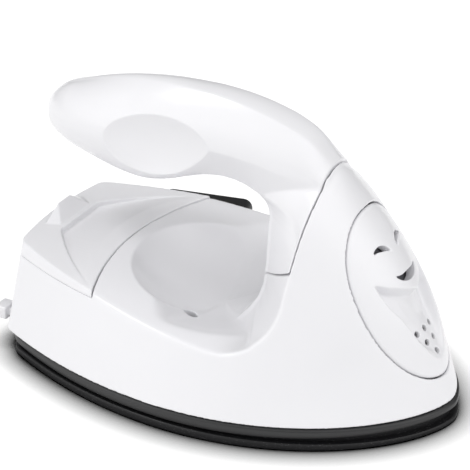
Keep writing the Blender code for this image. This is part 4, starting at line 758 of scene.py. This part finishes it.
def shell_skin():
    top = HOUSING_TOP_Z + OVERRUN
    rear = -HOUSING_HEEL_REACH - OVERRUN
    shell = part_of_whole("shell_skin")
    lamp_hole = rod(LAMP_RADIUS + GAP, (LAMP_X, LAMP_Y, LAMP_BASE_Z - GAP * 2), (LAMP_X, LAMP_Y, LAMP_HOLE_TOP_Z))
    slot = box((rear, SELECTOR_Y - SLOT_HALF, SELECTOR_Z - SLOT_HALF),
               (SLOT_END_X, SELECTOR_Y + SELECTOR_TRAVEL + SLOT_HALF, SELECTOR_Z + SLOT_HALF))
    notch = at_inlet(INLET_LENGTH / 2 + GAP, (INLET_TOP_Z - INLET_BOTTOM_Z) / 2 + GAP, INLET_CORNER,
                     -OVERRUN, INLET_DEPTH + GAP)
    combine(shell,
            ("DIFFERENCE", across(above_joint(0.0))),
            ("DIFFERENCE", prism(cover_region(GAP), COVER_SEAT_Z, top)),
            ("DIFFERENCE", lamp_hole),
            ("DIFFERENCE", face_body("pocket", FACE_GROOVE, -FACE_THICKNESS - FACE_POCKET_DEPTH, FACE_REACH)),
            ("DIFFERENCE", notch),
            ("DIFFERENCE", slot))
    return soften(shell, SHELL_VOXEL, 3, 0.25)


def cover_skin():
    foot = COVER_SEAT_Z + GAP / 3
    top = COVER_TAIL_Z + OVERRUN
    cover = hull("cover_skin", between(foot, top, 12))
    rear = -HOUSING_HEEL_REACH - OVERRUN
    front = COVER_CORNER_X + OVERRUN
    slope = (COVER_FRONT_Z - COVER_WING_Z) / (COVER_CORNER_X - COVER_TAIL_X)
    wings = [(x, COVER_WING_Z + slope * (x - COVER_TAIL_X)) for x in (rear, front)]
    wings += [(front, top + OVERRUN), (rear, top + OVERRUN)]
    rings = []
    half_count = 24
    for i in range(-half_count, half_count + 1):
        y = COVER_CORNER_Y * i / half_count
        side_share = max(0.0, (abs(y) - COVER_TAIL_FOOT) / (COVER_CORNER_Y - COVER_TAIL_FOOT))
        back = COVER_TAIL_FOOT_X + (cover_front_x(y) - COVER_TAIL_FOOT_X) * side_share
        lip = COVER_MIDDLE_Z + (COVER_FRONT_Z - COVER_MIDDLE_Z) * (y / COVER_CORNER_Y) ** 2
        ahead = cover_front_x(y) + GAP
        rings.append([(back - GAP, y, COVER_SUNK_Z + (lip - COVER_SUNK_Z) * side_share), (ahead, y, lip),
                      (ahead, y, top), (back - GAP, y, top)])
    bm = bmesh.new()
    for side in (1, -1):
        for x, y, z in ((COVER_TAIL_X, COVER_TAIL_HALF_WIDTH, COVER_TAIL_Z),
                        (COVER_TAIL_X, COVER_TAIL_FOOT, COVER_WING_Z),
                        (COVER_TAIL_X, COVER_TAIL_FOOT, foot + GAP),
                        (COVER_TAIL_FOOT_X, COVER_TAIL_FOOT, COVER_SUNK_Z),
                        (COVER_TAIL_FOOT_X, COVER_TAIL_FOOT, foot + GAP)):
            bm.verts.new((x, side * y, z))
    bmesh.ops.convex_hull(bm, input=bm.verts)
    combine(cover,
            ("INTERSECT", prism(cover_region(0.0), foot - OVERRUN, top + OVERRUN)),
            ("DIFFERENCE", across(wings)),
            ("DIFFERENCE", loft("sunk_panel", rings)),
            ("UNION", shaped("tail_block", bm)))
    return soften(cover, COVER_VOXEL, 5, 0.5)


def handle_skin():
    grip = part_of_whole("handle_skin")
    tools = [("INTERSECT", across(above_joint(GAP)))]
    for side in (1, -1):
        centre = (SCOOP_X, side * (GRIP_HALF_WIDTH + SCOOP_HALF_HEIGHT - SCOOP_DEPTH), SCOOP_Z)
        radii = (SCOOP_HALF_LENGTH * SCOOP_LENGTH_FACTOR, SCOOP_HALF_HEIGHT, SCOOP_HALF_HEIGHT * SCOOP_HEIGHT_FACTOR)
        tools.append(("DIFFERENCE", ball(radii, centre, SCOOP_TILT)))
    combine(grip, *tools)
    return soften(grip, GRIP_VOXEL, 2, 0.3)


def bib_body(drop=0.0):
    middle = FACE_HALF_HEIGHT * BIB_MIDDLE_SHARE
    half = []
    for a, b in zip(BIB_SHARES, BIB_SHARES[1:]):
        half += [(a[0] + (b[0] - a[0]) * i / 4, a[1] + (b[1] - a[1]) * i / 4) for i in range(4)]
    half = [(FACE_HALF_WIDTH * x, FACE_HALF_HEIGHT * y - middle) for x, y in half + [BIB_SHARES[-1]]]
    outline = half + [(-x, y) for x, y in reversed(half[1:-1])]
    grown = 1 + drop / FACE_HALF_WIDTH

    def ring(size, depth_share, lift):
        made = []
        for x, y in outline:
            x, y = x * size * grown, middle + y * size * grown
            fall = min(1.0, max(0.0, y - BIB_FOOT_HEIGHT) / (BIB_KNEE_HEIGHT - BIB_FOOT_HEIGHT))
            dome = FACE_CROWN * (1 - (x / FACE_HALF_WIDTH) ** 2 - (y / FACE_HALF_HEIGHT) ** 2)
            made.append(FACE @ Vector((x, y, nose_surface(x, y) + dome - BIB_DEPTH * depth_share * fall - drop + lift)))
        return made
    return loft("bib", [ring(size, depth, 0.0) for size, depth in reversed(BIB_RING_SHARES)]
                + [ring(size, 0.0, drop + OVERRUN) for size, _ in BIB_RING_SHARES])


def face_skin():
    plate = face_body("face_skin", 0.0, -FACE_THICKNESS, 0.0, FACE_CROWN, FACE_RIM)
    pan = bib_body(BIB_WALL)
    combine(pan, ("INTERSECT", face_body("pan_limit", -FACE_PAN_INSET, -FACE_REACH, -FACE_RIM)))
    tools = [("UNION", pan), ("DIFFERENCE", bib_body())]
    for row, count in enumerate(VENT_COUNTS):
        for i in range(count):
            spot = Vector((VENT_PITCH * (i - (count - 1) / 2), VENT_TOP_HEIGHT - VENT_ROW * row, 0))
            tools.append(("DIFFERENCE", rod(VENT_RADIUS, FACE @ (spot + Vector((0, 0, -FACE_REACH))),
                                            FACE @ (spot + Vector((0, 0, FACE_REACH))), 32)))
    marks = [crescent((0.0, SMILE_HEIGHT), SMILE_RADIUS, SMILE_THICKNESS, *SMILE_ARC)]
    for side, start, end in EYE_ARCS:
        marks.append(crescent((side * EYE_OFFSET, EYE_HEIGHT), EYE_RADIUS, EYE_THICKNESS, start, end))
    tools += [("DIFFERENCE", on_face(mark, FACE_REACH, FACE_REACH)) for mark in marks]
    combine(plate, *tools)
    return soften(plate, PLATE_VOXEL, 3, 0.5)


def sole_outline(inset=0.0):
    return hull_outline(NOSE_REACH - inset, HEEL_REACH - inset, SOLE_HALF_WIDTH - inset,
                        HEEL_HALF_WIDTH - inset, NOSE_FULLNESS_BASE)


def forward_share(x):
    return max(0.0, (x - BEAM_X) / (NOSE_REACH - BEAM_X)) ** 2


def sole_skin():
    def ring(inset, height, thinning=1.0):
        return [(x, y, height - SOLE_NOSE_THINNING * thinning * forward_share(x)) for x, y in sole_outline(inset)]
    bevel = SOLE_EDGE_BEVEL
    turns = [math.pi / 2 * i / 5 for i in range(6)]
    rings = [ring(bevel * (1 - math.sin(t)), bevel * (1 - math.cos(t)), 0.0) for t in turns]
    rings += [ring(bevel * (1 - math.cos(t)), SOLE_THICKNESS - bevel * (1 - math.sin(t))) for t in turns]
    rings += [ring(STEP_INSET, SOLE_THICKNESS), ring(STEP_INSET, PAD_HEIGHT, 0.0)]
    return shaded(loft("sole_skin", rings, merge=0.000001), SMOOTH_EDGE_ANGLE)


def shield_skin():
    def ring(inset, height, lift):
        return [(x, y, height + SHIELD_NOSE_RISE * lift * forward_share(x)) for x, y in sole_outline(inset)]
    rings = [ring(SHIELD_RIM, SHIELD_TOP_Z, 0.0), ring(SHIELD_RIM, PAD_HEIGHT + GAP, 0.0),
             ring(STEP_INSET + GAP, PAD_HEIGHT + GAP, 0.0), ring(STEP_INSET - GAP, SHIELD_BOTTOM_Z, 1.0)]
    count = 12
    for i in range(count + 1):
        share = i / count
        inset = SHIELD_BULGE * (2 * share - 1) ** 2 + SHIELD_BULGE * (2 * share - 1) ** 8
        rings.append(ring(inset, SHIELD_BOTTOM_Z + (SHIELD_TOP_Z - SHIELD_BOTTOM_Z) * share, 1 - share))
    return shaded(loft("shield_skin", rings, merge=0.0, closed=True), SMOOTH_EDGE_ANGLE)


def inlet_skin():
    half_length, half_height = INLET_LENGTH / 2, (INLET_TOP_Z - INLET_BOTTOM_Z) / 2
    block = at_inlet(half_length, half_height, INLET_CORNER, 0.0, INLET_DEPTH)
    block.name = "inlet_skin"
    combine(block, ("DIFFERENCE", at_inlet(SOCKET_WIDTH / 2, SOCKET_HEIGHT / 2, SOCKET_CORNER, -OVERRUN, SOCKET_DEPTH)))
    return bevelled(block, SOCKET_BEVEL)


def lamp_skin():
    height = LAMP_Z - LAMP_BASE_Z
    profile = [(LAMP_RADIUS, 0.0), (LAMP_RADIUS, height - LAMP_RADIUS)]
    profile += [(LAMP_RADIUS * math.cos(t), height - LAMP_RADIUS * (1 - math.sin(t)))
                for t in (math.pi / 2 * i / 12 for i in range(1, 12))]
    turns = [math.tau * i / LAMP_SIDES for i in range(LAMP_SIDES)]
    rings = [[(LAMP_X + r * math.cos(t), LAMP_Y + r * math.sin(t), LAMP_BASE_Z + z) for t in turns]
             for r, z in profile]
    return shaded(loft("lamp_skin", rings, merge=0.0), SMOOTH_EDGE_ANGLE)


def knob_skin():
    low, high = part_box("selector_knob")
    wall_x = -HOUSING_HEEL_REACH - GAP
    knob = box((-SELECTOR_REACH, low.y, low.z), (wall_x, high.y, high.z), "knob_skin")
    stem = box((wall_x - GAP, SELECTOR_Y - SELECTOR_STEM_WIDTH / 2, SELECTOR_Z - SELECTOR_STEM_HEIGHT / 2),
               (high.x, SELECTOR_Y + SELECTOR_STEM_WIDTH / 2, SELECTOR_Z + SELECTOR_STEM_HEIGHT / 2))
    combine(knob, ("UNION", stem))
    return bevelled(knob, KNOB_BEVEL, 4)


# ---------------------------------------------------------------- finishes
GRAIN_SCALE = 2600.0
FLECK_SCALE = GRAIN_SCALE * 0.8
BLOTCH_SCALE = 60.0
ROUGHNESS_SPREAD = 0.05
COAT_ROUGHNESS = 0.12
BUMP_DISTANCE = 0.0001


def surface(name, colour, roughness, metallic=0.0, bump=0.03, shade=0.97, coat=0.0, specular=0.5, fleck=0.0):
    """Moulded or metal finish: fine grain in the bump, slow variation in colour and roughness."""
    made = bpy.data.materials.new(name)
    made.use_nodes = True
    nodes, links = made.node_tree.nodes, made.node_tree.links
    shader = nodes["Principled BSDF"]
    shader.inputs["Metallic"].default_value = metallic
    shader.inputs["Specular IOR Level"].default_value = specular
    shader.inputs["Coat Weight"].default_value = coat
    shader.inputs["Coat Roughness"].default_value = COAT_ROUGHNESS
    place = nodes.new("ShaderNodeTexCoord")
    slow = nodes.new("ShaderNodeTexNoise")
    slow.inputs["Scale"].default_value = BLOTCH_SCALE
    slow.inputs["Detail"].default_value = 3.0
    links.new(place.outputs["Object"], slow.inputs["Vector"])
    tint = nodes.new("ShaderNodeMix")
    tint.data_type = "RGBA"
    tint.inputs["A"].default_value = (*(c * shade for c in colour), 1.0)
    tint.inputs["B"].default_value = (*colour, 1.0)
    links.new(slow.outputs["Fac"], tint.inputs["Factor"])
    top_colour = tint.outputs["Result"]
    fine = nodes.new("ShaderNodeTexNoise")
    fine.inputs["Scale"].default_value = GRAIN_SCALE
    fine.inputs["Detail"].default_value = 2.0
    links.new(place.outputs["Object"], fine.inputs["Vector"])
    if fleck:
        spots = nodes.new("ShaderNodeTexVoronoi")
        spots.inputs["Scale"].default_value = FLECK_SCALE
        links.new(place.outputs["Object"], spots.inputs["Vector"])
        near = nodes.new("ShaderNodeMapRange")
        near.inputs["From Min"].default_value = 0.05
        near.inputs["From Max"].default_value = 0.22
        near.inputs["To Min"].default_value = 1.0
        near.inputs["To Max"].default_value = 0.0
        links.new(spots.outputs["Distance"], near.inputs["Value"])
        speck = nodes.new("ShaderNodeMix")
        speck.data_type = "RGBA"
        speck.inputs["B"].default_value = (fleck, fleck, fleck * 1.03, 1.0)
        links.new(near.outputs["Result"], speck.inputs["Factor"])
        links.new(top_colour, speck.inputs["A"])
        top_colour = speck.outputs["Result"]
    links.new(top_colour, shader.inputs["Base Color"])
    gloss = nodes.new("ShaderNodeMapRange")
    gloss.inputs["To Min"].default_value = roughness - ROUGHNESS_SPREAD
    gloss.inputs["To Max"].default_value = roughness + ROUGHNESS_SPREAD
    links.new(slow.outputs["Fac"], gloss.inputs["Value"])
    links.new(gloss.outputs["Result"], shader.inputs["Roughness"])
    relief = nodes.new("ShaderNodeBump")
    relief.inputs["Strength"].default_value = bump
    relief.inputs["Distance"].default_value = BUMP_DISTANCE
    links.new(fine.outputs["Fac"], relief.inputs["Height"])
    links.new(relief.outputs["Normal"], shader.inputs["Normal"])
    return made


white = surface("white_moulding", (0.875, 0.872, 0.895), 0.30, coat=0.5)
black = surface("black_moulding", (0.020, 0.020, 0.021), 0.32, bump=0.12, specular=0.50)
matte_black = surface("black_matt_moulding", (0.012, 0.012, 0.013), 0.48, bump=0.20, specular=0.35)
coated = surface("coated_plate", (0.010, 0.010, 0.011), 0.32, bump=0.10, specular=0.30, fleck=0.10)
steel = surface("bright_steel", (0.60, 0.60, 0.61), 0.30, metallic=1.0, bump=0.05)
brass = surface("brass_pin", (0.72, 0.54, 0.26), 0.26, metallic=1.0, bump=0.04)
insert = surface("dark_sheet", (0.10, 0.10, 0.11), 0.55, bump=0.10)
board = surface("board_green", (0.03, 0.20, 0.07), 0.42, bump=0.15, shade=0.75)
ceramic = surface("fired_ceramic", (0.76, 0.73, 0.67), 0.70, bump=0.25, shade=0.90)
insulation = surface("wire_red", (0.32, 0.02, 0.02), 0.45, bump=0.08)
lens = surface("lamp_lens", (0.11, 0.11, 0.12), 0.20, bump=0.01, coat=0.3)

FINISHES = {"white_plastic": white, "black_plastic": black, "coated_aluminium": coated, "steel": steel, "brass": brass,
            "dark_insert": insert, "circuit_board": board, "ceramic": ceramic, "clear_lens": lens,
            "wire_insulation": insulation}


def place(made, finish, node, slot, body="iron"):
    made.data.materials.clear()
    made.data.materials.append(finish)
    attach(made, body)
    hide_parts(node)
    return made


place(shell_skin(), white, "body_shell", "white_plastic")
place(cover_skin(), white, "rear_cover", "white_plastic")
place(handle_skin(), white, "handle", "white_plastic")
bpy.data.objects.remove(WHOLE)
place(face_skin(), white, "face_plate", "white_plastic")
place(shield_skin(), black, "heat_shield", "black_plastic")
place(sole_skin(), coated, "sole_plate", "coated_aluminium")
place(inlet_skin(), matte_black, "inlet_housing", "black_plastic")
place(lamp_skin(), lens, "indicator_lamp", "clear_lens")
place(knob_skin(), white, "selector_knob", "white_plastic", "selector")

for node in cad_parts.values():
    if not node.hide_render:
        for i, held in enumerate(node.material_slots):
            key = held.material.name.split(".")[0] if held.material else "white_plastic"
            node.material_slots[i].material = FINISHES.get(key, black)


# ---------------------------------------------------------------- floor, light and camera
FLOOR_HALF = 2.0
FLOOR_TOP_Z = -0.0001
FLOOR_BOTTOM_Z = -0.004
FLOOR_COLOUR = 0.88
# Painted contact shadow: how far and how deep occlusion by the object darkens the floor's colour and glow
SHADOW_REACH = 0.008
SHADOW_SAMPLES = 16
SHADOW_START = 0.50
SHADOW_POWER = 0.9
FLOOR_LIT_PART = 0.30
FLOOR_GLOW_PART = 0.85
LOBE_POWER = 6.0
SKY_BASE = 0.02
SKY_TO_CAMERA = 1.05
SKY_LOBES = (
    ((0.00, 0.00, 1.00), 0.22), ((0.98, 0.00, 0.21), 1.50), ((-0.69, -0.69, 0.21), 1.75), ((0.00, -0.98, 0.21), 0.42),
    ((0.69, -0.69, 0.21), 0.12), ((0.67, 0.00, 0.74), 1.32), ((0.33, 0.58, 0.74), 0.40), ((-0.33, 0.58, 0.74), 0.35),
    ((-0.67, 0.00, 0.74), 0.20), ((-0.33, -0.58, 0.74), 0.70), ((0.33, -0.58, 0.74), 0.75),
)
OVERHEAD_SPOT = (-0.43, -0.25, 0.87)
OVERHEAD_AIM = (0.0, 0.0, 0.03)
OVERHEAD_SIZE = 0.22
OVERHEAD_POWER = 1.6
EYE = (0.179354, -0.316415, 0.231773)
TARGET = (0.0, 0.0, 0.0312)
SENSOR_WIDTH = 36.0
FOCAL_LENGTH = 143.84
SHIFT = (-0.00383, -0.00051)
CLIP_START = 0.01


def white_table():
    """White to the camera, with the object's shadow deepened by a painted contact shadow where it stands; a plain pale
    floor to the rest.
    """
    made = bpy.data.materials.new("white_table")
    made.use_nodes = True
    nodes, links = made.node_tree.nodes, made.node_tree.links
    nodes.clear()
    out = nodes.new("ShaderNodeOutputMaterial")
    plain = nodes.new("ShaderNodeBsdfDiffuse")
    plain.inputs["Color"].default_value = (FLOOR_COLOUR, FLOOR_COLOUR, FLOOR_COLOUR, 1.0)
    # Painted contact shadow: occlusion near the object darkens the colour and glow the camera sees on the floor
    near = nodes.new("ShaderNodeAmbientOcclusion")
    near.inputs["Distance"].default_value = SHADOW_REACH
    near.samples = SHADOW_SAMPLES
    reach = nodes.new("ShaderNodeMapRange")
    reach.inputs["From Min"].default_value = SHADOW_START
    links.new(near.outputs["AO"], reach.inputs["Value"])
    depth = nodes.new("ShaderNodeMath")
    depth.operation = "POWER"
    depth.inputs[1].default_value = SHADOW_POWER
    links.new(reach.outputs["Result"], depth.inputs[0])
    lit = nodes.new("ShaderNodeBsdfDiffuse")
    tone = nodes.new("ShaderNodeMapRange")
    tone.inputs["To Max"].default_value = FLOOR_LIT_PART
    links.new(depth.outputs["Value"], tone.inputs["Value"])
    links.new(tone.outputs["Result"], lit.inputs["Color"])
    glow = nodes.new("ShaderNodeEmission")
    level = nodes.new("ShaderNodeMapRange")
    level.inputs["To Max"].default_value = FLOOR_GLOW_PART
    links.new(depth.outputs["Value"], level.inputs["Value"])
    links.new(level.outputs["Result"], glow.inputs["Strength"])
    both = nodes.new("ShaderNodeAddShader")
    links.new(lit.outputs["BSDF"], both.inputs[0])
    links.new(glow.outputs["Emission"], both.inputs[1])
    seen = nodes.new("ShaderNodeLightPath")
    either = nodes.new("ShaderNodeMath")
    either.operation = "MAXIMUM"
    links.new(seen.outputs["Is Camera Ray"], either.inputs[0])
    links.new(seen.outputs["Is Glossy Ray"], either.inputs[1])
    choose = nodes.new("ShaderNodeMixShader")
    links.new(either.outputs["Value"], choose.inputs["Fac"])
    links.new(plain.outputs["BSDF"], choose.inputs[1])
    links.new(both.outputs["Shader"], choose.inputs[2])
    links.new(choose.outputs["Shader"], out.inputs["Surface"])
    return made


def studio_sky():
    """Soft boxes all round as broad lobes of light: (direction, strength). The camera sees plain white."""
    world = bpy.data.worlds.new("studio")
    bpy.context.scene.world = world
    world.use_nodes = True
    nodes, links = world.node_tree.nodes, world.node_tree.links
    nodes.clear()
    view = nodes.new("ShaderNodeTexCoord")
    total = None
    for direction, strength in SKY_LOBES:
        facing = nodes.new("ShaderNodeVectorMath")
        facing.operation = "DOT_PRODUCT"
        facing.inputs[1].default_value = Vector(direction).normalized()
        links.new(view.outputs["Generated"], facing.inputs[0])
        front = nodes.new("ShaderNodeMath")
        front.operation = "MAXIMUM"
        front.inputs[1].default_value = 0.0
        links.new(facing.outputs["Value"], front.inputs[0])
        lobe = nodes.new("ShaderNodeMath")
        lobe.operation = "POWER"
        lobe.inputs[1].default_value = LOBE_POWER
        links.new(front.outputs["Value"], lobe.inputs[0])
        added = nodes.new("ShaderNodeMath")
        added.operation = "MULTIPLY_ADD"
        added.inputs[1].default_value = strength
        added.inputs[2].default_value = SKY_BASE
        links.new(lobe.outputs["Value"], added.inputs[0])
        if total:
            links.new(total, added.inputs[2])
        total = added.outputs["Value"]
    back = nodes.new("ShaderNodeBackground")
    links.new(total, back.inputs["Strength"])
    plain_back = nodes.new("ShaderNodeBackground")
    plain_back.inputs["Strength"].default_value = SKY_TO_CAMERA
    path = nodes.new("ShaderNodeLightPath")
    choose = nodes.new("ShaderNodeMixShader")
    links.new(path.outputs["Is Camera Ray"], choose.inputs["Fac"])
    links.new(back.outputs["Background"], choose.inputs[1])
    links.new(plain_back.outputs["Background"], choose.inputs[2])
    out = nodes.new("ShaderNodeOutputWorld")
    links.new(choose.outputs["Shader"], out.inputs["Surface"])


def aimed(name, data, spot, target):
    """A lamp or camera at a spot, turned to its target."""
    holder = bpy.data.objects.new(name, data)
    holder.location = spot
    holder.rotation_euler = (Vector(target) - Vector(spot)).to_track_quat("-Z", "Y").to_euler()
    bpy.context.scene.collection.objects.link(holder)
    return holder


floor = prism([(-FLOOR_HALF, -FLOOR_HALF), (FLOOR_HALF, -FLOOR_HALF), (FLOOR_HALF, FLOOR_HALF),
               (-FLOOR_HALF, FLOOR_HALF)], FLOOR_BOTTOM_Z, FLOOR_TOP_Z, "floor")
floor.data.materials.append(white_table())

studio_sky()

overhead = bpy.data.lights.new("overhead", "AREA")
overhead.shape = "RECTANGLE"
overhead.size = overhead.size_y = OVERHEAD_SIZE
overhead.energy = OVERHEAD_POWER
aimed("overhead", overhead, OVERHEAD_SPOT, OVERHEAD_AIM)

lens_setup = bpy.data.cameras.new("camera")
lens_setup.sensor_width = SENSOR_WIDTH
lens_setup.lens = FOCAL_LENGTH
lens_setup.shift_x, lens_setup.shift_y = SHIFT
lens_setup.clip_start = CLIP_START
bpy.context.scene.camera = aimed("camera", lens_setup, EYE, TARGET)
bpy.context.scene.view_settings.view_transform = "Standard"
